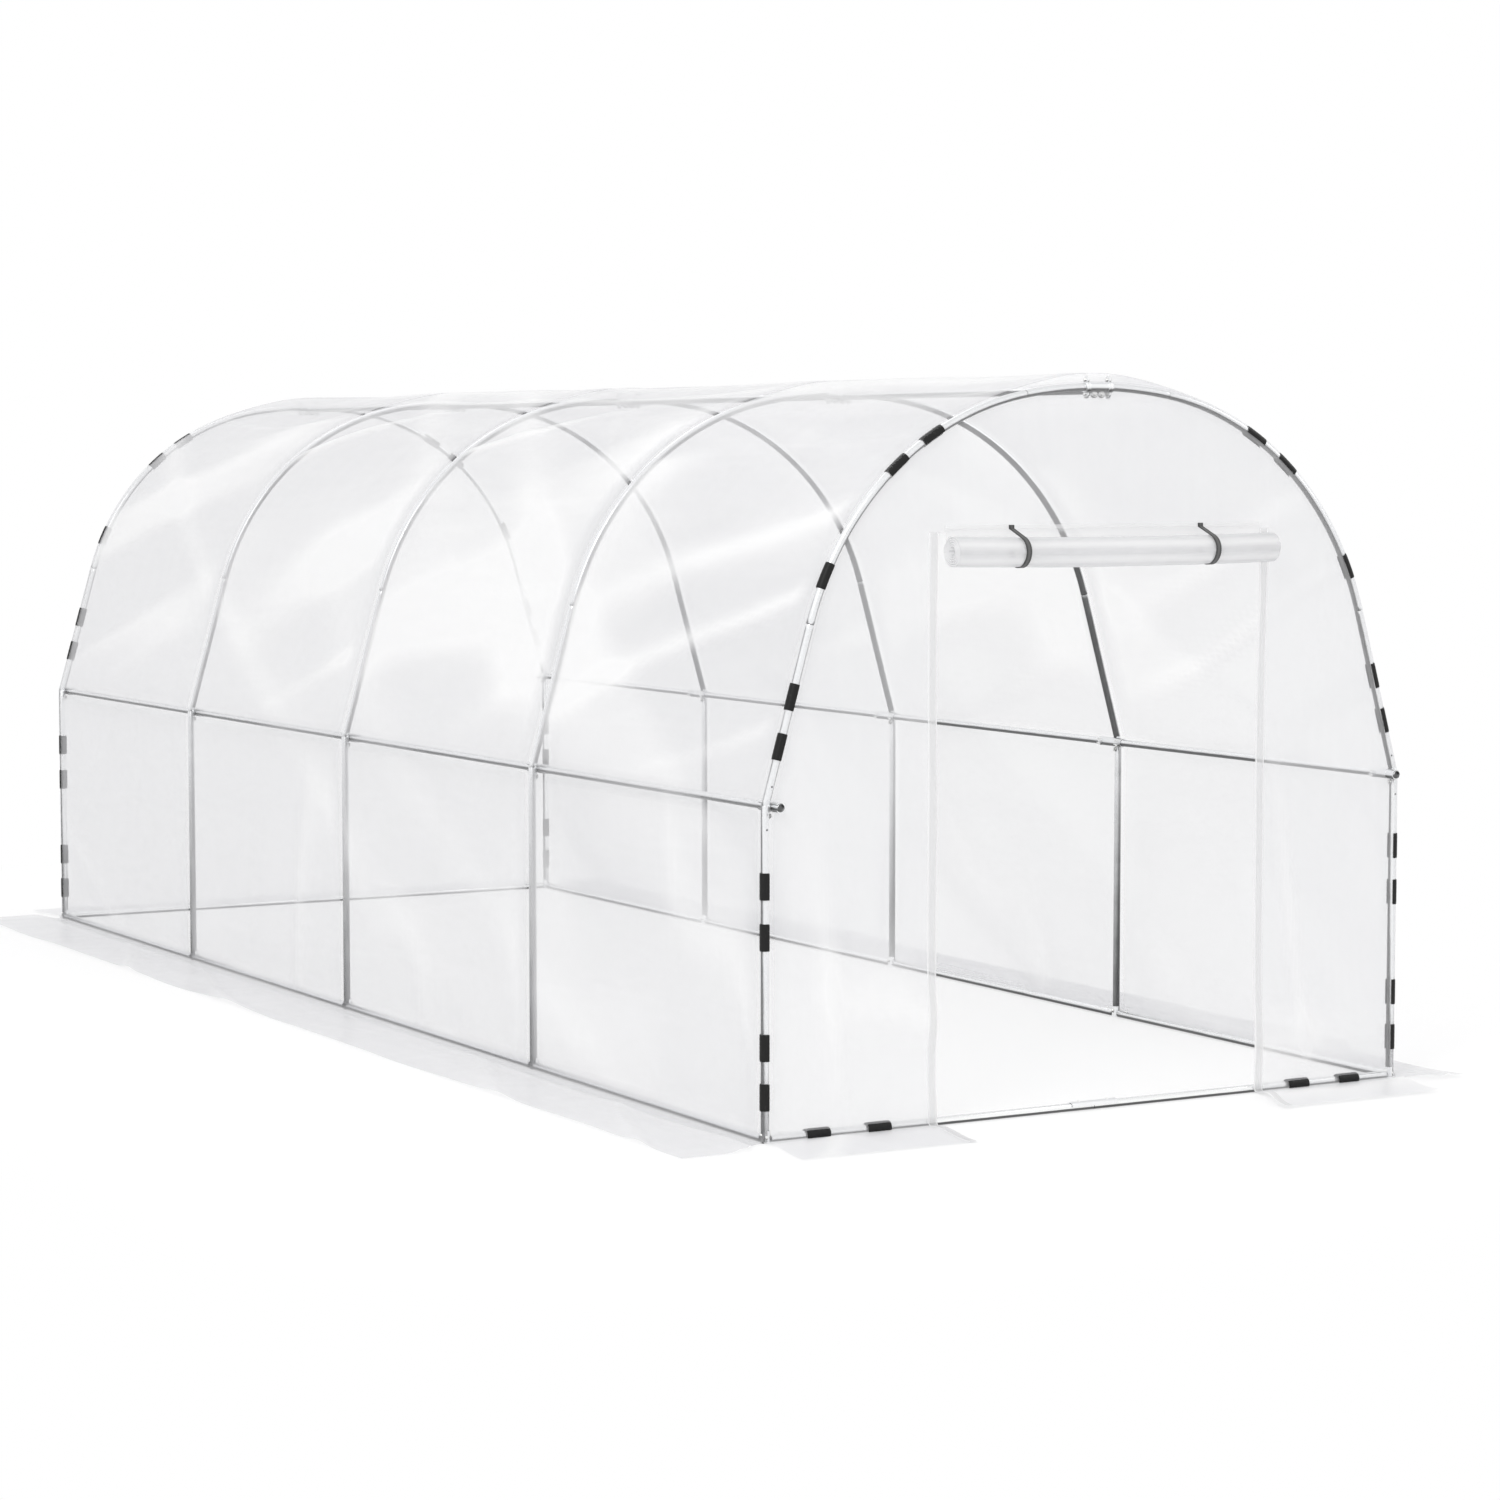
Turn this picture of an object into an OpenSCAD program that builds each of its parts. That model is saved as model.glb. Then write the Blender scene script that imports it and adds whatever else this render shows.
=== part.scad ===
// Walk-in tunnel greenhouse: five round-tube hoops, ridge pole, side and base rails, and a clear
// film cover with ground skirts, a front wall with an open doorway and a closed rear wall.
// Millimetres. +X is to the right seen from the front, +Y runs back, +Z is up. The tunnel is
// centred on X and Y, and its feet and skirts stand on Z = 0.

/* [Tunnel] */
// Width between the posts' centre lines
tunnel_w = 2100; // [1500:10:3000]
// Distance from one hoop to the next
bay = 1376; // [900:1:2000]
// Number of hoops
hoops = 5; // [2:1:9]
// Height of the shoulder, where the posts end and the bows start
shoulder_h = 892; // [600:1:1300]
// Height of the bows' centre line at the ridge
ridge_h = 1998; // [1700:1:2600]
// Inward lean of the bow's straight part, in degrees from upright
lean = 16; // [6:1:24]
// Radius of the bow's haunch
haunch_r = 860; // [600:5:1000]
// Angle at which the haunch passes into the flatter crown
haunch_end = 80; // [70:1:86]

/* [Tubes] */
// Outside diameter of every tube
tube_d = 22; // [16:1:38]
// Wall thickness of every tube
tube_wall = 1.0; // [0.8:0.1:2.5]
// Length of side rail that stands out past the end hoops
rail_stub = 45; // [20:1:120]
// Drop of the ridge pole's centre line below the bows' centre line
ridge_drop = 9; // [0:1:30]

/* [Fittings] */
// Wall thickness of the pressed clamps, brackets and couplers
fitting_t = 3; // [1.5:0.5:6]
// Length of a ridge connector's cross arm
ridge_arm = 91; // [60:1:160]
// Length of a ridge connector's socket on each side of its hoop
socket_len = 40; // [25:1:80]
// Height of the shoulder clamp's band round the post
clamp_h = 34; // [20:1:60]
// Length of a shoulder clamp's band along the side rail
clamp_len = 120; // [40:1:160]
// Height of a foot bracket
foot_h = 34; // [20:1:60]
// Length of a base rail coupler
coupler_len = 150; // [80:5:300]

/* [Film] */
// Thickness of the film sheets, thicker than the real film so that they are solid
film_t = 2; // [1:0.5:4]
// Free width of the side skirts on the ground
side_skirt = 298; // [150:1:500]
// Free depth of the end skirts on the ground
end_skirt = 262; // [150:1:500]
// Free width of the right skirt where its front corner is turned back
turned_skirt = 200; // [80:5:300]
// Length of the right skirt's turned-back corner
turned_len = 420; // [200:10:800]

/* [Doorway] */
// Clear width of the doorway
door_w = 1070; // [700:2:1400]
// Clear height of the doorway
door_h = 1602; // [1400:1:1800]
// Distance from the tunnel's middle to the doorway's middle
door_shift = 13; // [-60:1:60]
// Width of the hems down the doorway's edges
hem_w = 27; // [12:1:50]
// Diameter of the rolled-up door
roll_d = 86; // [50:1:120]
// Height of the rolled-up door's centre line
roll_z = 1553; // [1400:1:1900]
// Distance from the doorway's middle to the roll's middle
roll_shift = 10; // [-60:1:60]
// Width of each roll strap
strap_w = 17; // [12:1:60]
// Distance of each roll strap from the roll's middle
strap_x = 315; // [150:1:500]

/* [Clips] */
// Length of a film clip
clip_len = 72; // [40:1:120]
// Wall thickness of a film clip
clip_t = 1.6; // [1.2:0.1:4]

/* [Hidden] */
// Fits
fit_gap = 0.2;
film_gap = 0.3;
seam = 1;
// Tunnel sizes
r = tube_d / 2;
half_w = tunnel_w / 2;
length = bay * (hoops - 1);
front_y = -length / 2;
rear_y = length / 2;
base_z = r;
// Bow: straight part, haunch arc and crown arc, each tangent to the next, plugged end to end
crown_k = tan((90 - haunch_end) / 2);
haunch_x0 = half_w - haunch_r * cos(lean);
haunch_z0 = shoulder_h - haunch_r * sin(lean);
straight_len = (ridge_h - haunch_r - haunch_z0 - crown_k * haunch_x0)
    / (cos(lean) - crown_k * sin(lean));
haunch_x = haunch_x0 - straight_len * sin(lean);
haunch_z = haunch_z0 + straight_len * cos(lean);
crown_r = haunch_r + haunch_x / cos(haunch_end);
crown_z = ridge_h - crown_r;
mitre = tan(lean / 2);
// Film faces, measured out from a tube's centre line
film_in = r + film_gap;
film_out = film_in + film_t;
fit_r = r + fit_gap;
fit_out = fit_r + fitting_t;
// Side rails run along the inside of the posts
rail_x = half_w - (tube_d + film_gap) / cos(lean);
rail_z = shoulder_h;
// The left skirt's front edge lies this far ahead of the front wall
skirt_lead = side_skirt * 0.3;
// Doorway
door_left = door_shift - door_w / 2;
door_right = door_shift + door_w / 2;
roll_x = door_shift + roll_shift;
roll_y = front_y - film_out - 2 * film_gap - film_t - roll_d / 2;
strap_t = film_t;
strap_top = door_h + 24;
// Clips, at the places where they hold the film to the end hoops and the base rail
clip_in = film_out + film_gap;
clip_out = clip_in + clip_t;
clip_lap = 10;
post_clips = [122, 254, 547, 682];
straight_clips = [155, 285];
haunch_clips = [25, 49.5, 58.5];
// The inner base rail clips stand this far outside the doorway's sides, to their middles
clip_off_left = 181;
clip_off_right = 160;
base_clips = [-893, door_left - clip_off_left, door_right + clip_off_right, 889];

TUBE = [0.74, 0.75, 0.76];
PRESSED = [0.66, 0.67, 0.68];
FILM = [0.90, 0.93, 0.94, 0.45];
PLASTIC = [0.08, 0.08, 0.08];
WEBBING = [0.22, 0.23, 0.22];

$fn = 72;
fine_fn = 240;
haunch_steps = 24;
crown_steps = 5;

// Ring between two radii, flat on the XY plane, or a full disc where the inner radius is 0
module ring(outer, inner) {
    difference() {
        circle(r = outer);
        if (inner > 0) circle(r = inner);
    }
}

// Straight tube standing on Z = 0
module tube(len, outer = r, inner = r - tube_wall) {
    linear_extrude(len) ring(outer, inner);
}

// Tube lying along +Y from the origin
module tube_y(len, outer = r, inner = r - tube_wall) {
    rotate([-90, 0, 0]) tube(len, outer, inner);
}

// Tube lying along +X from the origin
module tube_x(len, outer = r, inner = r - tube_wall) {
    rotate([0, 90, 0]) tube(len, outer, inner);
}

// Bend of the given radius in the XZ plane, between two angles from +X, of the shape that follows
module sweep(radius, from, to) {
    rotate([90, 0, 0])
        rotate_extrude(angle = to - from, start = from, $fn = fine_fn)
            translate([radius, 0])
                children();
}

// Right half on the +X side; the left half is its mirror
module on_side(side) {
    if (side == "left") {
        mirror([1, 0, 0]) children();
    } else {
        children();
    }
}

// Places the children at every hoop
module at_hoops() {
    for (i = [0 : hoops - 1]) {
        translate([0, front_y + i * bay, 0]) children();
    }
}

// ---- Frame ----

module hoop_posts(i) {
    color(TUBE)
    translate([0, front_y + i * bay, 0])
    for (side = ["left", "right"]) {
        on_side(side) translate([half_w, 0, 0]) tube(shoulder_h);
    }
}

// Leaning tube and haunch tube on one side, from the shoulder up to the crown tube
module bow_side() {
    difference() {
        at_shoulder() translate([0, 0, -tube_d]) tube(straight_len + tube_d - fit_gap);
        translate([half_w - tube_d, -tube_d, shoulder_h - 2 * tube_d])
            cube([2 * tube_d, 2 * tube_d, 2 * tube_d]);
    }
    translate([haunch_x, 0, haunch_z]) sweep(haunch_r, lean, haunch_end - asin(fit_gap / haunch_r))
        ring(r, r - tube_wall);
}

// Moves the children to the right-hand shoulder and leans them inwards
module at_shoulder() {
    translate([half_w, 0, shoulder_h]) rotate([0, -lean, 0]) children();
}

module hoop_bow(i) {
    color(TUBE)
    translate([0, front_y + i * bay, 0]) {
        for (side = ["left", "right"]) {
            on_side(side) bow_side();
        }
        translate([0, 0, crown_z]) sweep(crown_r, haunch_end, 180 - haunch_end)
            ring(r, r - tube_wall);
    }
}

module ridge_pole() {
    color(TUBE)
    for (i = [0 : hoops - 2]) {
        translate([0, front_y + i * bay + fit_out + fit_gap, ridge_h - ridge_drop])
            tube_y(bay - 2 * (fit_out + fit_gap));
    }
}

// Socket behind a hoop that holds the end of a length of ridge pole
module ridge_socket() {
    translate([0, fit_out + fit_gap, ridge_h - ridge_drop])
        tube_y(socket_len - fit_out - fit_gap, fit_out, fit_r);
}

// Cross fittings: an arm under each bow, with sockets for the ridge pole before and behind it
module ridge_connectors() {
    color(PRESSED)
    intersection() {
        union() {
            at_hoops() translate([-ridge_arm / 2, 0, ridge_h]) tube_x(ridge_arm, fit_out, fit_r);
            for (i = [0 : hoops - 2]) {
                translate([0, front_y + i * bay, 0]) ridge_socket();
                translate([0, front_y + (i + 1) * bay, 0]) mirror([0, 1, 0]) ridge_socket();
            }
        }
        between_ends();
    }
}

// Room between the outer faces of the end hoops, up to the bows' centre line at the ridge
module between_ends() {
    translate([-half_w, front_y - r, 0]) cube([tunnel_w, length + tube_d, ridge_h]);
}

module side_rail(side) {
    color(TUBE)
    on_side(side)
        translate([rail_x, front_y - rail_stub, rail_z]) tube_y(length + 2 * rail_stub);
}

// Pressed band round the inner half of the post's top, and another along the rail that crosses it
module shoulder_clamp() {
    intersection() {
        translate([half_w, 0, rail_z - clamp_h]) tube(clamp_h, fit_out, fit_r);
        translate([half_w - tube_d, -tube_d, 0]) cube([tube_d, 2 * tube_d, ridge_h]);
    }
    intersection() {
        translate([rail_x, -clamp_len / 2, rail_z]) tube_y(clamp_len, fit_out, fit_r);
        translate([rail_x - tube_d, -clamp_len, 0]) cube([tube_d, 2 * clamp_len, ridge_h]);
    }
}

module shoulder_clamps() {
    color(PRESSED)
    intersection() {
        at_hoops()
            for (side = ["left", "right"]) {
                on_side(side) shoulder_clamp();
            }
        between_ends();
    }
}

module base_rail_side(side) {
    color(TUBE)
    on_side(side)
        for (i = [0 : hoops - 2]) {
            translate([half_w, front_y + i * bay + fit_out + fit_gap, base_z])
                tube_y(bay - 2 * (fit_out + fit_gap));
        }
}

module base_rail_end(y) {
    color(TUBE)
    for (side = ["left", "right"]) {
        on_side(side)
            translate([seam / 2, y, base_z]) tube_x(half_w - fit_out - fit_gap - seam / 2);
    }
}

// Pressed half collar round the inside of each post's foot
module foot_brackets() {
    color(PRESSED)
    intersection() {
        at_hoops()
            for (side = ["left", "right"]) {
                on_side(side) translate([half_w, 0, 0]) tube(foot_h, fit_out, fit_r);
            }
        between_ends();
    }
}

// Upper half shells that join the two halves of each end base rail
module base_couplers() {
    color(PRESSED)
    for (y = [front_y, rear_y]) {
        intersection() {
            translate([-coupler_len / 2, y, base_z]) tube_x(coupler_len, fit_out, fit_r);
            translate([-coupler_len, y - r, base_z]) cube([2 * coupler_len, tube_d, tube_d]);
        }
    }
}

// ---- Film cover ----

module cover_wall(side) {
    color(FILM)
    on_side(side) film_strip([
        [half_w + film_in, 0],
        [half_w + film_out, 0],
        [half_w + film_out, shoulder_h + film_out * mitre],
        [half_w + film_in, shoulder_h + film_in * mitre]
    ]);
}

// Full-length strip of film with the given section in the XZ plane
module film_strip(section) {
    translate([0, rear_y, 0]) rotate([90, 0, 0]) linear_extrude(length) polygon(section);
}

// Strip of film between two angles round a centre line of the given radius, full length
module film_arc(radius, from, to) {
    translate([0, rear_y, 0]) rotate([90, 0, 0]) linear_extrude(length)
        intersection() {
            ring(radius + film_out, radius + film_in, $fn = fine_fn);
            film_wedge(2 * (radius + film_out), from, to);
        }
}

// Wedge of plane between two angles under 90 degrees apart
module film_wedge(reach, from, to) {
    polygon([[0, 0], [reach * cos(from), reach * sin(from)], [reach * cos(to), reach * sin(to)]]);
}

module cover_eave(side) {
    color(FILM)
    on_side(side) film_strip([
        [half_w + film_in, shoulder_h + film_in * mitre],
        [half_w + film_out, shoulder_h + film_out * mitre],
        arc_point(haunch_x, haunch_z, haunch_r + film_out, lean),
        arc_point(haunch_x, haunch_z, haunch_r + film_in, lean)
    ]);
}

module cover_haunch(side) {
    color(FILM)
    on_side(side)
        translate([haunch_x, 0, haunch_z]) film_arc(haunch_r, lean, haunch_end);
}

module cover_crown(side) {
    color(FILM)
    on_side(side)
        translate([0, 0, crown_z]) film_arc(crown_r, haunch_end, 90);
}

// ---- End walls ----

// Point at an angle from +X on a circle
function arc_point(x, z, radius, angle) = [x + radius * cos(angle), z + radius * sin(angle)];

// Points at even steps round an arc, without its first point
function arc_points(x, z, radius, from, to, steps) =
    [for (i = [1 : steps]) arc_point(x, z, radius, from + (to - from) * i / steps)];

// Right half of an end wall's outline, along the hoop's centre line and up to the ridge
right_outline = concat(
    [[half_w, 0], [half_w, shoulder_h], arc_point(haunch_x, haunch_z, haunch_r, lean)],
    arc_points(haunch_x, haunch_z, haunch_r, lean, haunch_end, haunch_steps),
    arc_points(0, crown_z, crown_r, haunch_end, 90, crown_steps)
);

// Outline of an end wall: the right half, then the left half back down from beside the ridge
module end_outline() {
    polygon(concat(
        right_outline,
        [for (i = [len(right_outline) - 2 : -1 : 0]) [-right_outline[i][0], right_outline[i][1]]]
    ));
}

// Slab of film on the face of an end hoop, cut to the outline where the children are
module end_wall(y) {
    translate([0, y + film_t, 0]) rotate([90, 0, 0]) linear_extrude(film_t)
        intersection() {
            end_outline();
            children();
        }
}

// Holes in an end wall where the side rails stand out
module rail_holes(y) {
    for (side = ["left", "right"]) {
        on_side(side)
            translate([rail_x, y - film_t, rail_z]) tube_y(3 * film_t, fit_out, 0);
    }
}

// Room in the front wall for the clips on the front base rail
module base_clip_rooms() {
    for (x = base_clips) {
        translate([x - clip_len / 2 - seam, front_y - film_out - film_t, -seam])
            cube([clip_len + 2 * seam, 3 * film_t, base_z + clip_out + 2 * seam]);
    }
}

module front_wall() {
    color(FILM)
    difference() {
        end_wall(front_y - film_out) children();
        rail_holes(front_y - film_out);
        base_clip_rooms();
    }
}

module front_panel_left() {
    front_wall() translate([-half_w, 0]) square([half_w + door_left, door_h]);
}

module front_panel_right() {
    front_wall() translate([door_right, 0]) square([half_w - door_right, door_h]);
}

module front_header() {
    front_wall() translate([-half_w, door_h]) square([tunnel_w, ridge_h]);
}

module rear_panel() {
    color(FILM)
    difference() {
        end_wall(rear_y + film_in) translate([-half_w, 0]) square([tunnel_w, ridge_h]);
        rail_holes(rear_y + film_in);
    }
}

// ---- Skirts on the ground ----

// Flat sheet on the ground with the given outline
module ground_sheet(points) {
    color(FILM) linear_extrude(film_t) polygon(points);
}

module skirt_left() {
    wall = half_w + film_out;
    ground_sheet([
        [-wall, front_y],
        [-wall, rear_y],
        [-wall - side_skirt, rear_y],
        [-wall - side_skirt, front_y - skirt_lead],
        [-wall - side_skirt / 2, front_y - skirt_lead]
    ]);
}

module skirt_right() {
    wall = half_w + film_out;
    ground_sheet([
        [wall, rear_y],
        [wall, front_y],
        [wall + turned_skirt, front_y],
        [wall + turned_skirt, front_y + turned_len],
        [wall + side_skirt, front_y + turned_len + side_skirt - turned_skirt],
        [wall + side_skirt, rear_y]
    ]);
}

module skirt_front_left() {
    wall = front_y - film_out;
    ground_sheet([
        [door_left, wall],
        [-half_w, wall],
        [-half_w - end_skirt / 6, wall - end_skirt / 3],
        [-half_w - end_skirt / 4, wall - end_skirt],
        [door_left - end_skirt / 4, wall - end_skirt]
    ]);
}

module skirt_front_right() {
    wall = front_y - film_out;
    ground_sheet([
        [half_w, wall],
        [door_right, wall],
        [door_right - end_skirt / 2.5, wall - end_skirt],
        [half_w - end_skirt / 4, wall - end_skirt]
    ]);
}

module skirt_rear() {
    wall = rear_y + film_out;
    ground_sheet([
        [-half_w, wall],
        [half_w, wall],
        [half_w, wall + end_skirt],
        [-half_w, wall + end_skirt]
    ]);
}

// ---- Doorway ----

module door_hem(x) {
    color(FILM)
    translate([x, front_y - film_out - film_t, film_t])
        cube([hem_w, film_t, door_h - film_t]);
}

module door_roll() {
    color(FILM)
    translate([roll_x - door_w / 2, roll_y, roll_z])
        tube_x(door_w, roll_d / 2, 0);
}

// Strap that goes round the roll and up to the front wall above it
module door_strap() {
    inner = roll_d / 2 + fit_gap;
    difference() {
        union() {
            translate([-strap_w / 2, roll_y, roll_z]) tube_x(strap_w, inner + strap_t, 0);
            translate([-strap_w / 2, front_y - film_out - strap_t, roll_z])
                cube([strap_w, strap_t, strap_top - roll_z]);
        }
        translate([-strap_w, roll_y, roll_z]) tube_x(2 * strap_w, inner, 0);
    }
}

module door_straps() {
    color(WEBBING)
    for (x = [roll_x - strap_x, roll_x + strap_x]) {
        translate([x, 0, 0]) door_strap();
    }
}

// ---- Clips ----

// Flat section of a clip: the part of a ring between two angles from +X
module clip_section(from, to) {
    intersection() {
        ring(clip_out, clip_in);
        union() {
            film_wedge(2 * clip_out, from, (from + to) / 2);
            film_wedge(2 * clip_out, (from + to) / 2, to);
        }
    }
}

// Clip section on the outer front quarter of a right-hand tube, swept or extruded as needed
module hoop_clip_section() {
    clip_section(-90 - clip_lap, clip_lap);
}

// Clips up the right-hand side of the hoop at Y = 0, open towards the inside
module hoop_clips() {
    for (z = post_clips) {
        translate([half_w, 0, z - clip_len / 2]) linear_extrude(clip_len) hoop_clip_section();
    }
    at_shoulder()
        for (z = straight_clips) {
            translate([0, 0, z - clip_len / 2]) linear_extrude(clip_len) hoop_clip_section();
        }
    half_angle = clip_len / haunch_r * 90 / PI;
    translate([haunch_x, 0, haunch_z])
        for (a = haunch_clips) {
            sweep(haunch_r, a - half_angle, a + half_angle)
                mirror([0, 1]) hoop_clip_section();
        }
}

module clips_front() {
    color(PLASTIC)
    translate([0, front_y, 0])
    for (side = ["left", "right"]) {
        on_side(side) hoop_clips();
    }
}

module clips_rear() {
    color(PLASTIC)
    translate([0, rear_y, 0])
    for (side = ["left", "right"]) {
        on_side(side) mirror([0, 1, 0]) hoop_clips();
    }
}

// Clips over the front of the front base rail
module clips_base() {
    color(PLASTIC)
    for (x = base_clips) {
        translate([x - clip_len / 2, front_y, base_z])
            rotate([90, 0, 90]) linear_extrude(clip_len) clip_section(90 - clip_lap, 180 + clip_lap);
    }
}

hoop_posts(0);  // hoop_1_posts
hoop_bow(0);  // hoop_1_bow
hoop_posts(1);  // hoop_2_posts
hoop_bow(1);  // hoop_2_bow
hoop_posts(2);  // hoop_3_posts
hoop_bow(2);  // hoop_3_bow
hoop_posts(3);  // hoop_4_posts
hoop_bow(3);  // hoop_4_bow
hoop_posts(4);  // hoop_5_posts
hoop_bow(4);  // hoop_5_bow
ridge_pole();
ridge_connectors();
side_rail("left");  // side_rail_left
side_rail("right");  // side_rail_right
shoulder_clamps();
base_rail_side("left");  // base_rail_left
base_rail_side("right");  // base_rail_right
base_rail_end(front_y);  // base_rail_front
base_rail_end(rear_y);  // base_rail_rear
foot_brackets();
base_couplers();
cover_wall("left");  // cover_wall_left
cover_wall("right");  // cover_wall_right
cover_eave("left");  // cover_eave_left
cover_eave("right");  // cover_eave_right
cover_haunch("left");  // cover_haunch_left
cover_haunch("right");  // cover_haunch_right
cover_crown("left");  // cover_crown_left
cover_crown("right");  // cover_crown_right
front_panel_left();
front_panel_right();
front_header();
rear_panel();
skirt_left();
skirt_right();
skirt_front_left();
skirt_front_right();
skirt_rear();
door_hem(door_left - hem_w);  // door_hem_left
door_hem(door_right);  // door_hem_right
door_roll();
door_straps();
clips_front();
clips_rear();
clips_base();
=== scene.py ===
"""Looks of a walk-in tunnel greenhouse: galvanised tube hoops and rails, a clear wrinkled film cover
with ground skirts, a front wall with an open doorway and rolled-up film door, and black film clips.

Metres, with +X to the right seen from the doorway end, +Y along the tunnel and +Z up. Every piece is
worked out as whole arrays: a surface of two parameters on a grid, or a section carried along a path.
"""
import math

import bpy
import numpy as np
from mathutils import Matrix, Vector


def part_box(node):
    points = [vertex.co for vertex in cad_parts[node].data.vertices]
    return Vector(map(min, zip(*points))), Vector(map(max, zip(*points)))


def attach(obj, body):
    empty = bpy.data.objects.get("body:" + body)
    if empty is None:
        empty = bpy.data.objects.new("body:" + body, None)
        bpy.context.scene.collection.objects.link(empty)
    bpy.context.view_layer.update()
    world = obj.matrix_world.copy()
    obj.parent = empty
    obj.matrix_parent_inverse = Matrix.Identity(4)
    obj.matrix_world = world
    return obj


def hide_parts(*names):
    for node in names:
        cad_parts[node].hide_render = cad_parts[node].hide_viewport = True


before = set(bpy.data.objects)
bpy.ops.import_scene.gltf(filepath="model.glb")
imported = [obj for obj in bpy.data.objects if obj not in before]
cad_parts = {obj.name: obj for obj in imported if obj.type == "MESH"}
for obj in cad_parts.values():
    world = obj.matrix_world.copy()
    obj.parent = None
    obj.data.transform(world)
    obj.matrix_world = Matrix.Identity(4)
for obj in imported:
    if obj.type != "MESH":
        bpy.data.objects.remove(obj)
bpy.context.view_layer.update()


# ---- Driving sizes, read from the frame ----

def box(node):
    """Lowest and highest corner of a frame node as arrays."""
    low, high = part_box(node)
    return np.array(low), np.array(high)


POST_LOW, POST_HIGH = box("hoop_1_posts")
TUBE_R = (POST_HIGH[1] - POST_LOW[1]) / 2
HALF_W = POST_HIGH[0] - TUBE_R
SHOULDER = POST_HIGH[2]
HOOP_Y = [float(sum(b[1] for b in box(f"hoop_{i}_posts")) / 2) for i in range(1, 6)]
FRONT, REAR = HOOP_Y[0], HOOP_Y[-1]
RIDGE = box("hoop_1_bow")[1][2] - TUBE_R
RAIL_X = float(sum(b[0] for b in box("side_rail_right")) / 2)
RAIL_Z = float(sum(b[2] for b in box("side_rail_right")) / 2)
RAIL_FRONT, RAIL_REAR = box("side_rail_right")[0][1], box("side_rail_right")[1][1]
POLE_Z = float(sum(b[2] for b in box("ridge_pole")) / 2)
BASE_Z = float(sum(b[2] for b in box("base_rail_left")) / 2)
DOOR_L = box("door_hem_left")[1][0]
DOOR_R = box("door_hem_right")[0][0]
DOOR_H = box("door_hem_left")[1][2]
ROLL_LOW, ROLL_HIGH = box("door_roll")
ROLL_R = (ROLL_HIGH[2] - ROLL_LOW[2]) / 2
ROLL_Y, ROLL_Z = (ROLL_LOW[1] + ROLL_HIGH[1]) / 2, (ROLL_LOW[2] + ROLL_HIGH[2]) / 2
STRAP_LOW, STRAP_HIGH = box("door_straps")
HEM_W = box("door_hem_left")[1][0] - box("door_hem_left")[0][0]
SKIRT_L = -box("skirt_left")[0][0] - HALF_W
SKIRT_FRONT = FRONT - box("skirt_front_left")[0][1]
SKIRT_REAR = box("skirt_rear")[1][1] - REAR

# Sizes that the frame's boxes don't give
LEAN = math.radians(16)
UP_LEAN = np.array([-math.sin(LEAN), 0, math.cos(LEAN)])
OFF_LEAN = np.array([math.cos(LEAN), 0, math.sin(LEAN)])
HAUNCH_R = 0.860
HAUNCH_END = math.radians(80)
TUBE_WALL = 0.0012
TUBE_SIDES = 28
FIT = 0.0003
FILM_LIFT = 0.0012
CLIP_LEN = 0.072
STRAP_W = 0.017
POST_CLIPS = (0.122, 0.254, 0.547, 0.682)
LEAN_CLIPS = (0.162, 0.297)
HAUNCH_CLIPS = (25.0, 49.5, 58.5)
BASE_CLIPS = (-0.893, -0.703, 0.708, 0.889)

# Haunch and crown centres, so that each arc runs on from the part below it
_k = math.tan((math.pi / 2 - HAUNCH_END) / 2)
_x0 = HALF_W - HAUNCH_R * math.cos(LEAN)
_z0 = SHOULDER - HAUNCH_R * math.sin(LEAN)
LEAN_LEN = (RIDGE - HAUNCH_R - _z0 - _k * _x0) / (math.cos(LEAN) - _k * math.sin(LEAN))
HAUNCH_X = _x0 - LEAN_LEN * math.sin(LEAN)
HAUNCH_Z = _z0 + LEAN_LEN * math.cos(LEAN)
CROWN_R = HAUNCH_R + HAUNCH_X / math.cos(HAUNCH_END)
CROWN_Z = RIDGE - CROWN_R


# ---- Mesh helpers ----

def grid_quads(rows, cols, wrap_cols=False):
    """Quads of a grid of rows by cols points, numbered row by row, with the last column joined to the
    first where asked. They face along the columns' direction crossed with the rows' direction."""
    r = np.arange(rows - 1)[:, None]
    c = np.arange(cols if wrap_cols else cols - 1)[None, :]
    r1, c1 = r + 1, (c + 1) % cols
    quads = np.stack([r * cols + c, r * cols + c1, r1 * cols + c1, r1 * cols + c], -1)
    return quads.reshape(-1, 4)


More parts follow.
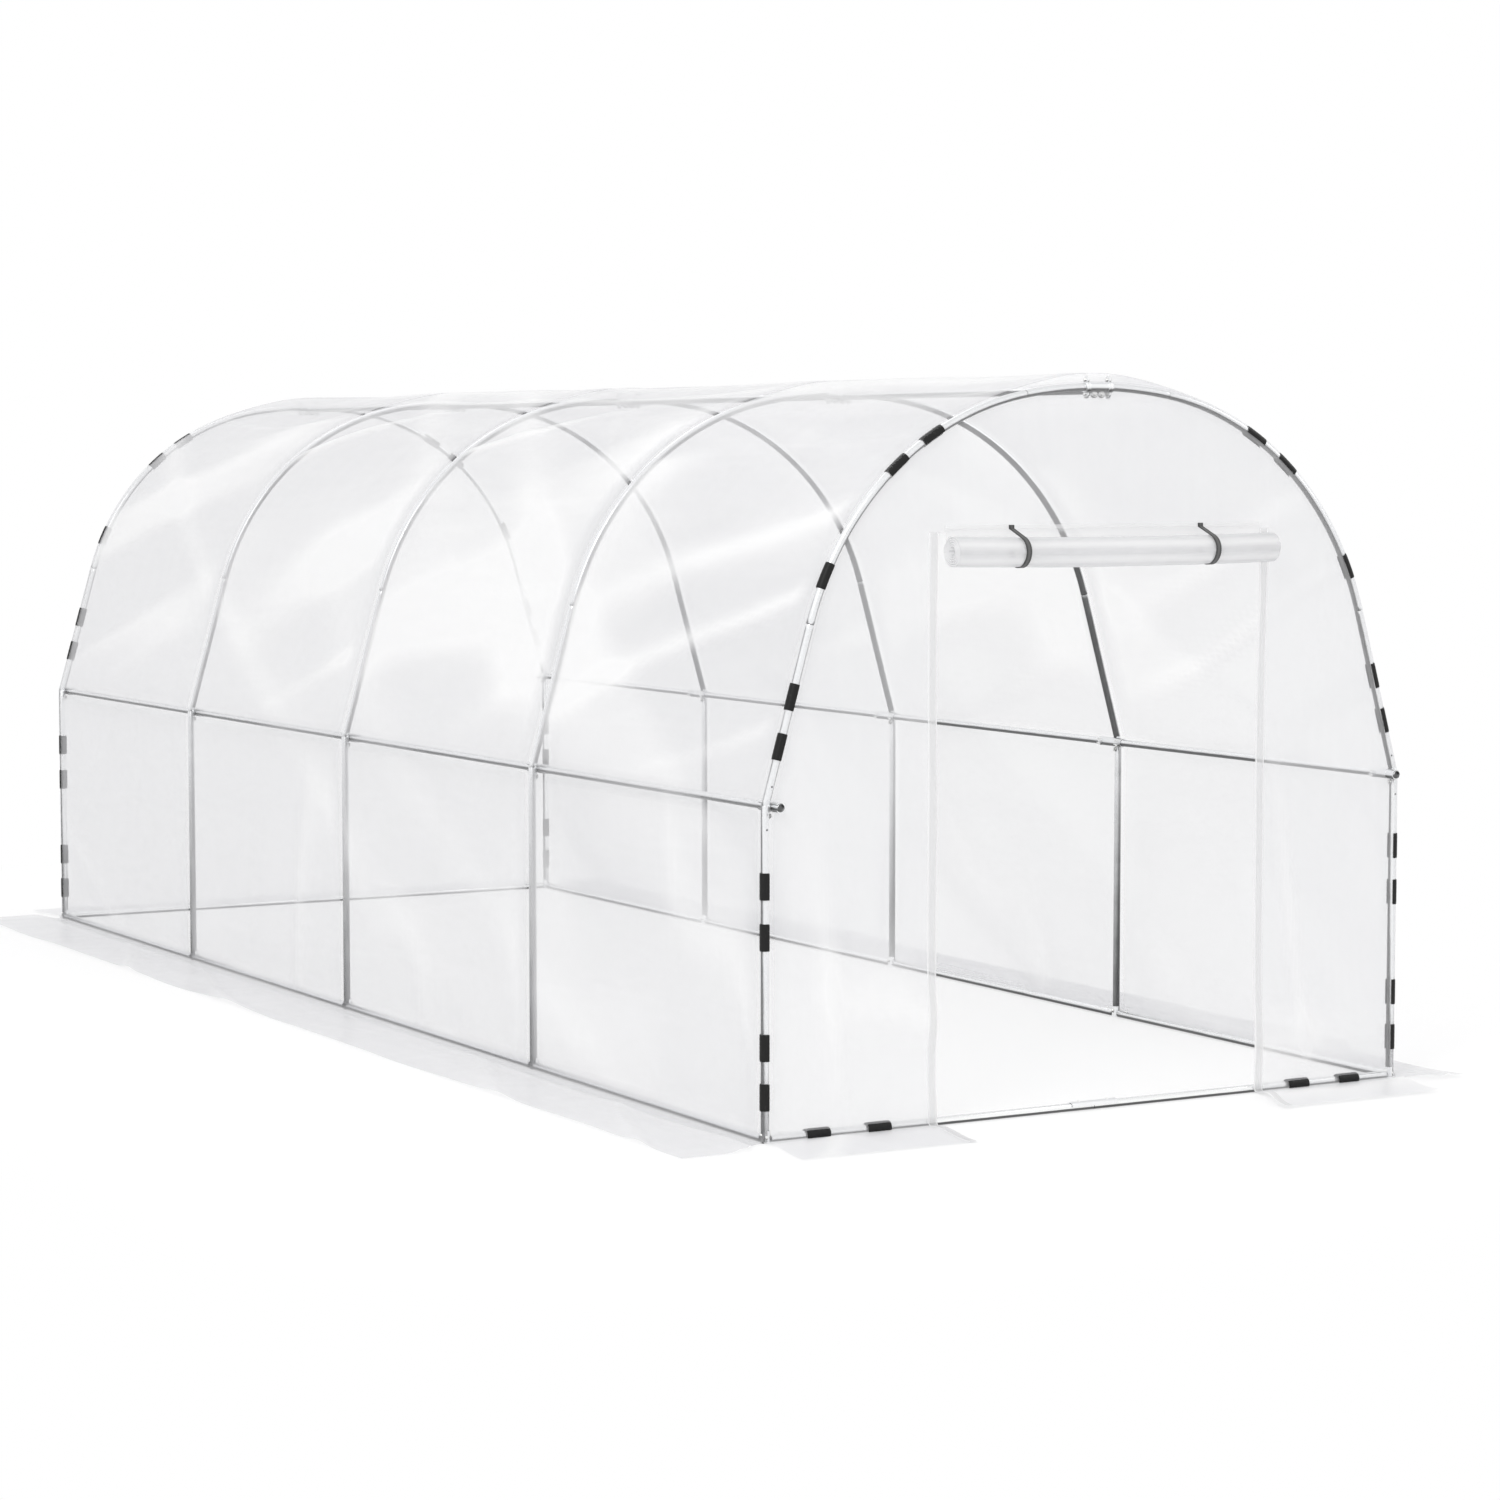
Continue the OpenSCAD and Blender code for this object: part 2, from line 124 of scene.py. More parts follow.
class Shape:
    """Points and faces gathered from several grids, to become one mesh."""

    def __init__(self):
        self.points, self.quads, self.uvs, self.haze, self.count = [], [], [], [], 0

    def add(self, points, quads, uv=None, haze=None):
        """Adds points (n by 3) with quads that number them from 0."""
        points = np.asarray(points, float).reshape(-1, 3)
        self.points.append(points)
        self.quads.append(np.asarray(quads) + self.count)
        self.uvs.append(np.zeros((len(points), 2)) if uv is None else np.asarray(uv).reshape(-1, 2))
        self.haze.append(np.ones(len(points)) if haze is None else np.asarray(haze).reshape(-1))
        self.count += len(points)
        return self

    def grid(self, points, wrap_cols=False, uv=None, haze=None, flip=False):
        """Adds a grid of points, rows by cols by 3."""
        rows, cols = points.shape[:2]
        quads = grid_quads(rows, cols, wrap_cols)
        return self.add(points, quads[:, ::-1] if flip else quads, uv, haze)

    def mirrored(self):
        """The same shape on the other side of X = 0, with its faces turned to match."""
        other = Shape()
        for points, quads, uv, haze in zip(self.points, self.quads, self.uvs, self.haze):
            other.points.append(points * [-1, 1, 1])
            other.quads.append(quads[:, ::-1])
            other.uvs.append(uv)
            other.haze.append(haze)
        other.count = self.count
        return other

    def join(self, other):
        """Adds all of another shape."""
        base = self.count
        for points, quads, uv, haze in zip(other.points, other.quads, other.uvs, other.haze):
            self.points.append(points)
            self.quads.append(quads + base)
            self.uvs.append(uv)
            self.haze.append(haze)
        self.count = base + other.count
        return self

    def capped(self, points):
        """Closes both ends of a grid whose rows have four points."""
        self.add(points[0], [[0, 1, 2, 3]])
        return self.add(points[-1], [[3, 2, 1, 0]])

    def piece(self, name, material, keep_sharp=None):
        """Makes the object, smooth apart from edges sharper than keep_sharp degrees. Quads with a
        repeated corner become triangles."""
        points, quads = np.concatenate(self.points), np.concatenate(self.quads)
        mesh = bpy.data.meshes.new(name)
        mesh.vertices.add(len(points))
        mesh.vertices.foreach_set("co", points.astype(np.float32).ravel())
        mesh.loops.add(quads.size)
        mesh.loops.foreach_set("vertex_index", quads.astype(np.int32).ravel())
        mesh.polygons.add(len(quads))
        mesh.polygons.foreach_set("loop_start", np.arange(0, quads.size, 4, dtype=np.int32))
        mesh.polygons.foreach_set("loop_total", np.full(len(quads), 4, dtype=np.int32))
        mesh.polygons.foreach_set("use_smooth", np.full(len(quads), True))
        uv = np.concatenate(self.uvs)[quads.ravel()]
        mesh.uv_layers.new(name="film_uv").data.foreach_set("uv", uv.astype(np.float32).ravel())
        haze = mesh.attributes.new("haze", "FLOAT", "POINT")
        haze.data.foreach_set("value", np.concatenate(self.haze).astype(np.float32))
        mesh.update(calc_edges=True)
        mesh.validate()
        if keep_sharp is not None:
            mesh.set_sharp_from_angle(angle=math.radians(keep_sharp))
        obj = bpy.data.objects.new(name, mesh)
        bpy.context.scene.collection.objects.link(obj)
        obj.data.materials.append(material)
        return obj


def unit(v):
    """Vectors scaled to length 1 along the last axis."""
    v = np.asarray(v, float)
    return v / np.maximum(np.linalg.norm(v, axis=-1, keepdims=True), 1e-12)


def smoothstep(a, b, x):
    """0 below a, 1 above b, and 3t^2 - 2t^3 between."""
    t = np.clip((np.asarray(x, float) - a) / (b - a), 0, 1)
    return t * t * (3 - 2 * t)


def with_ends(path, radius, open_start, open_end):
    """Path and radii of a tube with finished ends: an open end turns in over the wall and runs back
    inside, and a closed end turns in with a small rounding."""
    wall, depth, taper = TUBE_WALL, 0.007, 0.0009
    path = np.asarray(path, float)
    d0, d1 = unit(path[1] - path[0]), unit(path[-1] - path[-2])

    def end(point, inward, is_open):
        if is_open:
            offsets = [depth, depth, 0.0004, 0.0, 0.0, taper * 0.5]
            radii = [0.0, radius - wall, radius - wall, radius - wall + 0.0003,
                     radius - 0.0004, radius]
        else:
            offsets = [0.0, 0.0, taper * 0.3, taper]
            radii = [0.0, radius - taper, radius - taper * 0.3, radius]
        eps = np.arange(len(offsets)) * 1e-6
        return point + inward * (np.array(offsets) + eps)[:, None], radii

    start_points, start_radii = end(path[0], d0, open_start)
    end_points, end_radii = end(path[-1], -d1, open_end)
    points = np.concatenate([start_points, path[1:-1], end_points[::-1]])
    radii = np.concatenate([start_radii, np.full(len(path) - 2, radius), end_radii[::-1]])
    return points, radii


def tube_rings(path, radius, across, open_start=False, open_end=False):
    """Rings of a finished tube. Ring planes follow the path without its end rings, so that a ring that
    lies on the one before it still faces along the tube."""
    path = np.asarray(path, float)
    points, radii = with_ends(path, radius, open_start, open_end)
    n0 = 6 if open_start else 4
    n1 = 6 if open_end else 4
    tangent = unit(np.gradient(path, axis=0))
    full = np.concatenate([np.repeat(tangent[:1], n0, 0), tangent[1:-1], np.repeat(tangent[-1:], n1, 0)])
    across = np.broadcast_to(unit(np.asarray(across, float)), full.shape)
    side = unit(np.cross(across, full))
    turn = np.linspace(0, 2 * math.pi, TUBE_SIDES, endpoint=False)
    return (points[:, None] + radii[:, None, None] * (np.cos(turn)[None, :, None] * side[:, None]
            + np.sin(turn)[None, :, None] * across[:, None]))


def add_tube(shape, path, radius, across, open_start=False, open_end=False):
    """Adds one finished tube to a shape, faces outwards."""
    return shape.grid(tube_rings(path, radius, across, open_start, open_end), wrap_cols=True)


def straight(a, b, steps=2):
    """Points at even steps from a to b."""
    t = np.linspace(0, 1, steps)[:, None]
    return np.asarray(a, float) * (1 - t) + np.asarray(b, float) * t


def carried(path, across, section):
    """Section points (first across the path in its plane, second along the plane's normal) carried
    along a path: point = path + s0 * (across x tangent) + s1 * across."""
    path = np.asarray(path, float)
    tangent = unit(np.gradient(path, axis=0))
    across = np.broadcast_to(unit(np.asarray(across, float)), path.shape)
    side = unit(np.cross(across, tangent))
    section = np.asarray(section, float)
    return (path[:, None] + section[None, :, :1] * side[:, None]
            + section[None, :, 1:] * across[:, None])


def lathe(shape, at, axis, profile, sides=20, six_sided=False):
    """Turned piece: radii at heights along an axis, closed where the radius is 0. A six-sided one
    divides each radius by the cosine of the angle to the middle of its flat."""
    axis = unit(np.asarray(axis, float))
    side = unit(np.cross((0, 0, 1) if abs(axis[2]) < 0.9 else (1, 0, 0), axis))
    front = np.cross(axis, side)
    turn = np.linspace(0, 2 * math.pi, sides, endpoint=False)
    r, h = np.array(profile, float).T
    r = np.broadcast_to(r[:, None], (len(r), sides))
    if six_sided:
        r = r * math.cos(math.pi / 6) / np.cos(np.mod(turn, math.pi / 3) - math.pi / 6)[None, :]
    around = np.cos(turn)[:, None] * side + np.sin(turn)[:, None] * front
    points = np.asarray(at, float) + h[:, None, None] * axis + r[..., None] * around[None]
    return shape.grid(points, wrap_cols=True)


def bolt(shape, at, axis, r=0.0062, h=0.0045):
    """Hexagon bolt head on a washer, its top a little domed."""
    lathe(shape, at, axis, [(0, -0.001), (r * 1.5, -0.001), (r * 1.5, 0.0008), (r * 0.9, 0.0010)], 24)
    lathe(shape, at, axis, [(r * 0.9, 0.0006), (r, 0.0012), (r, h - 0.0006), (r * 0.88, h),
                            (r * 0.45, h + 0.0003), (0, h + 0.0003)], 24, True)


def rivet(shape, at, axis, r=0.004, h=0.002):
    """Low domed head."""
    lathe(shape, at, axis, [(r, -0.001), (r, h * 0.3), (r * 0.8, h * 0.75), (r * 0.4, h), (0, h)], 16)


def arc(radius, turn):
    """Points of a plane at a radius and at angles."""
    return np.stack([radius * np.cos(turn), radius * np.sin(turn)], -1)


def shell_section(start, stop, out=0.0030):
    """Section of a pressed shell round a tube, which it clears by FIT: the outer arc from start to stop,
    in degrees, out from the tube, and the inner arc back."""
    turn = np.radians(np.linspace(start, stop, 26))
    return np.concatenate([arc(TUBE_R + out, turn), arc(TUBE_R + FIT, turn[::-1])])


def hash2(i, j, seed):
    """A number from 0 to 1 for each pair of whole numbers, always the same for the same seed."""
    h = (np.asarray(i, np.int64) * 374761393 + np.asarray(j, np.int64) * 668265263
         + seed * 982451653) & 0xFFFFFFFF
    h = ((h ^ (h >> 13)) * 1274126177) & 0xFFFFFFFF
    h = ((h ^ (h >> 16)) * 2246822519) & 0xFFFFFFFF
    return ((h ^ (h >> 15)) & 0xFFFFFF) / float(0xFFFFFF)


def noise2(x, y, seed=0):
    """Smooth noise from -1 to 1 on a plane: hashed corners of a unit grid, eased between."""
    x, y = np.asarray(x, float), np.asarray(y, float)
    i, j = np.floor(x), np.floor(y)
    u, v = x - i, y - j
    u, v = u * u * u * (u * (u * 6 - 15) + 10), v * v * v * (v * (v * 6 - 15) + 10)
    i, j = i.astype(np.int64), j.astype(np.int64)
    a, b = hash2(i, j, seed), hash2(i + 1, j, seed)
    c, d = hash2(i, j + 1, seed), hash2(i + 1, j + 1, seed)
    return 2 * (a * (1 - u) * (1 - v) + b * u * (1 - v) + c * (1 - u) * v + d * u * v) - 1


def ridges(x, y, seed=0, width=0.30):
    """Soft rounded ridges from 0 to 1 that wander along the lines where smooth noise is 0: the noise
    over a width, squared, in a bell curve."""
    return np.exp(-(noise2(x, y, seed) / width) ** 2)


# ---- The hoop's centre line, and lines set out from it ----

def half_hoop(out=0.0, step=0.012, foot=0.0):
    """Right half of the hoop in X and Z, set out by a distance, from the foot to the ridge: upright
    post, leaning straight, haunch arc and crown arc."""
    shoulder = SHOULDER + out * math.tan(LEAN / 2)
    a = HAUNCH_R + out
    lean_end = np.array([HAUNCH_X + a * math.cos(LEAN), HAUNCH_Z + a * math.sin(LEAN)])
    post = straight([HALF_W + out, foot], [HALF_W + out, shoulder], max(2, int((shoulder - foot) / step)))
    lean = straight([HALF_W + out, shoulder], lean_end, max(2, int(LEAN_LEN / step)))[1:]
    turn = np.linspace(LEAN, HAUNCH_END, int(HAUNCH_R * (HAUNCH_END - LEAN) / step))[1:]
    haunch = np.stack([HAUNCH_X + a * np.cos(turn), HAUNCH_Z + a * np.sin(turn)], -1)
    b = CROWN_R + out
    turn = np.linspace(HAUNCH_END, math.pi / 2, int(CROWN_R * (math.pi / 2 - HAUNCH_END) / step))[1:]
    crown = np.stack([b * np.cos(turn), CROWN_Z + b * np.sin(turn)], -1)
    return np.concatenate([post, lean, haunch, crown])


def whole_hoop(out=0.0, step=0.012, foot=0.0):
    """The hoop from the left foot over the ridge to the right foot."""
    right = half_hoop(out, step, foot)
    left = right * [-1, 1]
    return np.concatenate([left, right[-2::-1]])


def along(points):
    """Distance along a line of points."""
    return np.concatenate([[0], np.cumsum(np.linalg.norm(np.diff(points, axis=0), axis=1))])


def resample(points, at):
    """Points at the given distances along a line."""
    s = along(points)
    return np.stack([np.interp(at, s, points[:, k]) for k in range(points.shape[1])], -1)


# ---- Shader expressions ----

class Value:
    """A shader socket that takes part in arithmetic: an expression adds its Math nodes."""

    def __init__(self, made, socket):
        self.made, self.socket = made, socket

    def _math(self, operation, *values):
        return self.made.node("ShaderNodeMath", {"operation": operation}, dict(enumerate(values)))

    def __add__(self, other):
        return self._math("ADD", self, other)

    __radd__ = __add__

    def __sub__(self, other):
        return self._math("SUBTRACT", self, other)

    def __rsub__(self, other):
        return self._math("SUBTRACT", other, self)

    def __mul__(self, other):
        return self._math("MULTIPLY", self, other)

    __rmul__ = __mul__

    def __truediv__(self, other):
        return self._math("DIVIDE", self, other)

    def __rtruediv__(self, other):
        return self._math("DIVIDE", other, self)

    def __pow__(self, other):
        return self._math("POWER", self, other)

    def clamp(self, low=0.0, high=1.0):
        """The value held between two numbers."""
        return self._math("MINIMUM", self._math("MAXIMUM", self, low), high)

    def ramp(self, low, high):
        """0 below low, 1 above high and eased between."""
        return self.made.node("ShaderNodeMapRange", {"interpolation_type": "SMOOTHSTEP"},
                              {"Value": self, "From Min": low, "From Max": high})


class Material:
    """A material that is being made; node() adds any node to it."""

    def __init__(self, name):
        self.data = bpy.data.materials.new(name)
        self.data.use_nodes = True
        self.tree = self.data.node_tree
        self.tree.nodes.clear()

    def node(self, kind, settings=None, values=None, out=0):
        """Adds a node of a type, sets its settings, then fills its sockets with values or links, and
        gives one output."""
        made = self.tree.nodes.new(kind)
        for key, value in (settings or {}).items():
            setattr(made, key, value)
        for key, value in (values or {}).items():
            socket = made.inputs[key]
            if isinstance(value, Value):
                self.tree.links.new(value.socket, socket)
            else:
                socket.default_value = value
        return Value(self, made.outputs[out])

    def place(self):
        """Object coordinates."""
        return self.node("ShaderNodeTexCoord", out="Object")

    def film_place(self):
        """The film's own coordinates, in metres across and along it."""
        return self.node("ShaderNodeUVMap", {"uv_map": "film_uv"})

    def scaled(self, place, scale, turn=(0, 0, 0), move=(0, 0, 0)):
        """Coordinates scaled, turned and moved."""
        return self.node("ShaderNodeMapping", {}, {"Vector": place, "Scale": scale, "Rotation": turn,
                                                   "Location": move})

    def noise(self, place, scale, detail=2.0, rough=0.5, distortion=0.0):
        """Noise from 0 to 1."""
        return self.node("ShaderNodeTexNoise", {}, {"Vector": place, "Scale": scale, "Detail": detail,
                                                    "Roughness": rough, "Distortion": distortion})

    def blend(self, share, a, b):
        """Colour a where share is 0 and b where it is 1."""
        made = self.tree.nodes.new("ShaderNodeMix")
        made.data_type = "RGBA"
        for index, value in ((0, share), (6, a), (7, b)):
            if isinstance(value, Value):
                self.tree.links.new(value.socket, made.inputs[index])
            else:
                made.inputs[index].default_value = value if index == 0 else (*value, 1)
        return Value(self, made.outputs[2])

    def bump(self, height, distance, strength=1.0):
        """A normal bent by a height in metres."""
        return self.node("ShaderNodeBump", {}, {"Height": height, "Distance": distance,
                                                "Strength": strength})

    def dot(self, a, b):
        """Dot product of two vectors."""
        return self.node("ShaderNodeVectorMath", {"operation": "DOT_PRODUCT"}, {0: a, 1: b}, "Value")

    def absolute(self, vector):
        """A vector with each of its parts made positive."""
        return self.node("ShaderNodeVectorMath", {"operation": "ABSOLUTE"}, {0: vector})

    def facing(self):
        """The surface's own normal."""
        return self.node("ShaderNodeNewGeometry", out="Normal")

    def surface(self, **values):
        """A Principled shader with the named sockets, underscores standing for spaces."""
        return self.node("ShaderNodeBsdfPrincipled", {}, {k.replace("_", " "): v for k, v in values.items()})

    def mix(self, share, a, b):
        """Shader a where share is 0 and b where it is 1."""
        return self.node("ShaderNodeMixShader", {}, {0: share, 1: a, 2: b})

    def finish(self, shader):
        """Puts a shader on the output."""
        out = self.tree.nodes.new("ShaderNodeOutputMaterial")
        self.tree.links.new(shader.socket, out.inputs["Surface"])
        return self.data


# ---- Materials ----

def galvanised(name, base, rough, toward=(0.24, 0.05, 0.90), low=0.0, high=0.50):
    """Zinc-coated steel: a grey metal with painted light and shade in its colour, pale where it faces up
    and out toward the light and dull dark underneath where shade falls, with faint cloudy patches in its
    tone and gloss and fine drawn lines. How lit it is painted comes from |nx|, |ny| and nz of its normal,
    weighted by toward, and runs from low to high; it is painted a little less lit where it faces toward
    most fully, and its gloss is a little rougher in the painted shade."""
    m = Material(name)
    place = m.place()
    normal = m.facing()
    facing = m.dot(m.absolute(normal), (toward[0], toward[1], 0)) + m.dot(normal, (0, 0, toward[2]))
    clouds = m.noise(place, 11.0, 2.0, 0.5)
    spangle = m.noise(place, 90.0, 1.0, 0.5)
    turned = facing + (clouds - 0.5) * 0.14 + (spangle - 0.5) * 0.03
    # Painted light and shade: dark underneath, pale where the normal faces toward, a little less at the
    # fullest facing.
    painted_light = (turned.ramp(low, high) - facing.ramp(0.70, 0.95) * 0.12).clamp()
    colour = m.blend(painted_light, [c * 0.20 for c in base], [min(0.96, c * 1.56) for c in base])
    gloss = (rough + (clouds - 0.5) * 0.10 + (1 - painted_light) * 0.08).clamp(0.08, 0.9)
    drawn = m.noise(m.scaled(place, (1, 1, 0.2)), 150.0, 2.0, 0.6)
    return m.finish(m.surface(Base_Color=colour, Metallic=0.85, Roughness=gloss,
                              Normal=m.bump(drawn, 0.0002, 0.06)))


def black_plastic():
    """Moulded black plastic: near-black with a soft sheen, faint grain and lighter scuffs."""
    m = Material("black_clip_plastic")
    place = m.place()
    grain = m.noise(place, 900.0, 2.0, 0.6)
    scuff = m.noise(m.scaled(place, (1, 1, 0.35)), 160.0, 3.0, 0.6).ramp(0.56, 0.80)
    colour = m.blend(scuff * 0.5, (0.008, 0.008, 0.008), (0.045, 0.045, 0.043))
    rough = 0.46 + scuff * 0.2
    return m.finish(m.surface(Base_Color=colour, Roughness=rough, Specular_IOR_Level=0.25,
                              Normal=m.bump(grain, 0.0003, 0.3)))


def strap_webbing():
    """Dark flat strap with fine cross ribs; its paler middle between narrow dark edges is a painted highlight
    along it.
    """
    m = Material("strap_webbing")
    uv = m.film_place()
    ribs = m.node("ShaderNodeTexWave", {"bands_direction": "Y"}, {"Vector": uv, "Scale": 260.0})
    fuzz = m.noise(m.place(), 500.0, 2.0, 0.6)
    across = m.dot(uv, (1 / STRAP_W, 0, 0))
    # Painted highlight: the middle of the strap's width is made paler.
    middle = across.ramp(0.15, 0.42) * (1 - across.ramp(0.58, 0.85))
    pale = (ribs * 0.25 + fuzz * 0.35 + middle * 0.55).clamp()
    colour = m.blend(pale, (0.016, 0.017, 0.017), (0.13, 0.13, 0.13))
    return m.finish(m.surface(Base_Color=colour, Roughness=0.62, Normal=m.bump(ribs, 0.0003, 0.5)))


def clear_film(name, thin, thick, tint=(0.84, 0.84, 0.853), rough=0.30, seed=0.0, lying=0.0):
    """Clear milky film. How solid it looks runs from thin to thick by broad soft bands and the piece's own
    attribute of haze and painted highlight. Past 1 that attribute whitens the film and makes it more
    solid; along folds and ridges this is painted highlight, standing for the lamps' glints on them. The
    face-on part lets straight through what is behind it, and edge-on film reflects more. Broad soft
    swells come from stretched noise. Where it lies flat on the ground it is made more solid, by lying:
    painted shade, standing for its shade close under it."""
    m = Material(name)
    uv = m.film_place()
    haze = m.node("ShaderNodeAttribute", {"attribute_name": "haze"}, out="Fac")
    shift = (seed, seed * 1.7, 0)
    bands = m.noise(m.scaled(uv, (1.1, 0.45, 1), (0, 0, 0.35), shift), 1.8, 2.0, 0.5, 0.4)
    streaks = m.noise(m.scaled(uv, (3.2, 0.5, 1), (0, 0, -0.25), shift), 1.9, 2.0, 0.5, 0.3)
    cloud = bands.ramp(0.30, 0.72) * 0.6 + streaks.ramp(0.45, 0.80) * 0.4
    # Painted highlight: the attribute past 1 whitens the film and makes it more solid.
    streak = ((haze - 1).clamp(0.0, 1.2) * 0.9).clamp()
    solid = ((thin + (thick - thin) * cloud) * haze.clamp() + streak * 0.46).clamp(0.0, 0.96)
    # Painted shade: level film within a few centimetres of the ground is made more solid, for the shade under
    # it.
    if lying:
        level = m.dot(m.absolute(m.facing()), (0, 0, 1)).ramp(0.6, 0.9)
        height = m.dot(m.place(), (0, 0, 1))
        solid = (solid + level * (1 - height.ramp(0.03, 0.06)) * lying).clamp(0.0, 0.96)
    swell = m.noise(m.scaled(uv, (1.0, 0.30, 1), (0, 0, 0.15), shift), 6.0, 2.0, 0.45, 0.3)
    ripple = m.noise(m.scaled(uv, (0.35, 1.0, 1), (0, 0, -0.4), shift), 4.5, 1.0, 0.5, 0.3)
    normal = m.bump(swell * 0.6 + ripple * 0.6, 0.030, 0.35)
    slant = m.node("ShaderNodeLayerWeight", {}, {"Blend": 0.5, "Normal": normal}, "Facing")
    share = (solid + (1 - solid) * slant ** 4.0 * haze.clamp() * 0.75).clamp()
    through = m.node("ShaderNodeBsdfTransparent", {}, {"Color": (0.990, 0.990, 0.993, 1)})
    colour = m.blend((streak + cloud * 0.25).clamp(), tint, (0.97, 0.97, 0.97))
    skin = m.surface(Base_Color=colour, Roughness=rough, Specular_IOR_Level=0.5, Coat_Weight=0.5,
                     Coat_Roughness=0.28, Normal=normal)
    glow = m.node("ShaderNodeBsdfTranslucent", {}, {"Color": colour, "Normal": normal})
    return m.finish(m.mix(share, through, m.mix(0.50, skin, glow)))


# Tube, end tube, fitting and bolt are copies of one galvanised steel whose painted light and shade is turned
# to different directions and ranges; the end tubes' copy is painted brighter.
TUBE = galvanised("galvanised_tube", (0.60, 0.605, 0.61), 0.25)
END_TUBE = galvanised("bright_end_tube", (0.61, 0.615, 0.62), 0.22, (0.0, 0.50, 0.86), 0.20, 0.43)
PRESSED = galvanised("pressed_fitting", (0.58, 0.585, 0.59), 0.28, (0.36, 0.40, 0.90), -0.05, 0.40)
BOLT = galvanised("zinc_bolt", (0.60, 0.60, 0.59), 0.28, (0.36, 0.40, 0.90), -0.05, 0.55)
PLASTIC = black_plastic()
DARK_HOLE = galvanised("pin_hole_shadow", (0.06, 0.06, 0.06), 0.6)
WEBBING = strap_webbing()
# Cover and end walls are the same film: the cover's darker tint is painted shade and the end walls' paler
# tint is painted light.
COVER_FILM = clear_film("cover_film", 0.36, 0.60, tint=(0.745, 0.745, 0.762), seed=1.3)
WALL_FILM = clear_film("end_wall_film", 0.29, 0.42, tint=(0.88, 0.88, 0.893), seed=7.9, lying=0.55)
HEM_FILM = clear_film("hem_film", 0.50, 0.66, tint=(0.78, 0.78, 0.78), seed=2.2)
FLAP_FILM = clear_film("flap_film", 0.32, 0.50, tint=(0.88, 0.88, 0.88), seed=3.3)
ROLL_FILM = clear_film("rolled_film", 0.80, 0.96, tint=(0.81, 0.81, 0.82), rough=0.16, seed=5.1)


# ---- Frame ----

def put(obj, nodes=()):
    """Rides the piece on the frame's root body and hides the frame nodes it stands for."""
    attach(obj, "root")
    if nodes:
        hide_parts(*nodes)
    return obj


def in_hoop_plane(xz, y):
    """Points in X and Z put at a place along Y."""
    return np.stack([xz[:, 0], np.full(len(xz), y), xz[:, 1]], -1)


JOINT = 0.0006
RAIL_STOP = 0.016
ACROSS_Y = (0, 1, 0)
ACROSS_X = (1, 0, 0)


def bow_parts():
    """Right-hand leaning tube, haunch tube and half of the crown tube, as lines in X and Z."""
    right = half_hoop(0.0, 0.010)
    post = SHOULDER
    lean_end = post + LEAN_LEN
    haunch_end = lean_end + HAUNCH_R * (HAUNCH_END - LEAN)

    def cut(a, b):
        return resample(right, np.linspace(a, b, max(4, int((b - a) / 0.012))))

    return cut(post + 0.001, lean_end - JOINT), cut(lean_end + JOINT, haunch_end - JOINT), haunch_end


def hoop(i):
    """One hoop: two posts, and a bow of five tubes plugged end to end."""
    y = HOOP_Y[i]
    posts, bow = Shape(), Shape()
    foot = in_hoop_plane(straight([HALF_W, 0.0], [HALF_W, SHOULDER + 0.004], 3), y)
    add_tube(posts, foot, TUBE_R, ACROSS_Y)
    posts.join(posts.mirrored())
    lean, haunch, crown_from = bow_parts()
    for line in (lean, haunch):
        add_tube(bow, in_hoop_plane(line, y), TUBE_R * 0.985, ACROSS_Y)
    bow.join(bow.mirrored())
    full = whole_hoop(0.0, 0.010)
    s = along(full)
    line = resample(full, np.linspace(crown_from + JOINT, s[-1] - crown_from - JOINT, 44))
    add_tube(bow, in_hoop_plane(line, y), TUBE_R, ACROSS_Y)
    # The end hoops take the copy of the steel whose painted light is brighter.
    steel = END_TUBE if i in (0, 4) else TUBE
    put(posts.piece(f"hoop_{i + 1}_posts_tube", steel, keep_sharp=40), [f"hoop_{i + 1}_posts"])
    put(bow.piece(f"hoop_{i + 1}_bow_tube", steel, keep_sharp=40), [f"hoop_{i + 1}_bow"])


def rails():
    """Ridge pole, side rails and base rails: straight tubes, open where an end shows."""
    pole = Shape()
    for a, b in zip(HOOP_Y[:-1], HOOP_Y[1:]):
        line = straight([0, a + TUBE_R + 0.001, POLE_Z], [0, b - TUBE_R - 0.001, POLE_Z], 3)
        add_tube(pole, line, TUBE_R, ACROSS_X)
    put(pole.piece("ridge_pole_tube", END_TUBE, keep_sharp=40), ["ridge_pole"])
    for side, sign in (("left", -1), ("right", 1)):
        rail, base = Shape(), Shape()
        x = sign * RAIL_X
        add_tube(rail, straight([x, RAIL_FRONT, RAIL_Z], [x, RAIL_REAR, RAIL_Z], 3), TUBE_R, ACROSS_X,
                 True, True)
        put(rail.piece(f"side_rail_{side}_tube", TUBE, keep_sharp=40), [f"side_rail_{side}"])
        for a, b in zip(HOOP_Y[:-1], HOOP_Y[1:]):
            line = straight([sign * HALF_W, a + RAIL_STOP, BASE_Z],
                            [sign * HALF_W, b - RAIL_STOP, BASE_Z], 3)
            add_tube(base, line, TUBE_R, ACROSS_X)
        put(base.piece(f"base_rail_{side}_tube", TUBE, keep_sharp=40), [f"base_rail_{side}"])
    for end, y in (("front", FRONT), ("rear", REAR)):
        rail = Shape()
        add_tube(rail, straight([JOINT, y, BASE_Z], [HALF_W - RAIL_STOP, y, BASE_Z], 3), TUBE_R, ACROSS_Y)
        rail.join(rail.mirrored())
        put(rail.piece(f"base_rail_{end}_tube", END_TUBE, keep_sharp=40), [f"base_rail_{end}"])


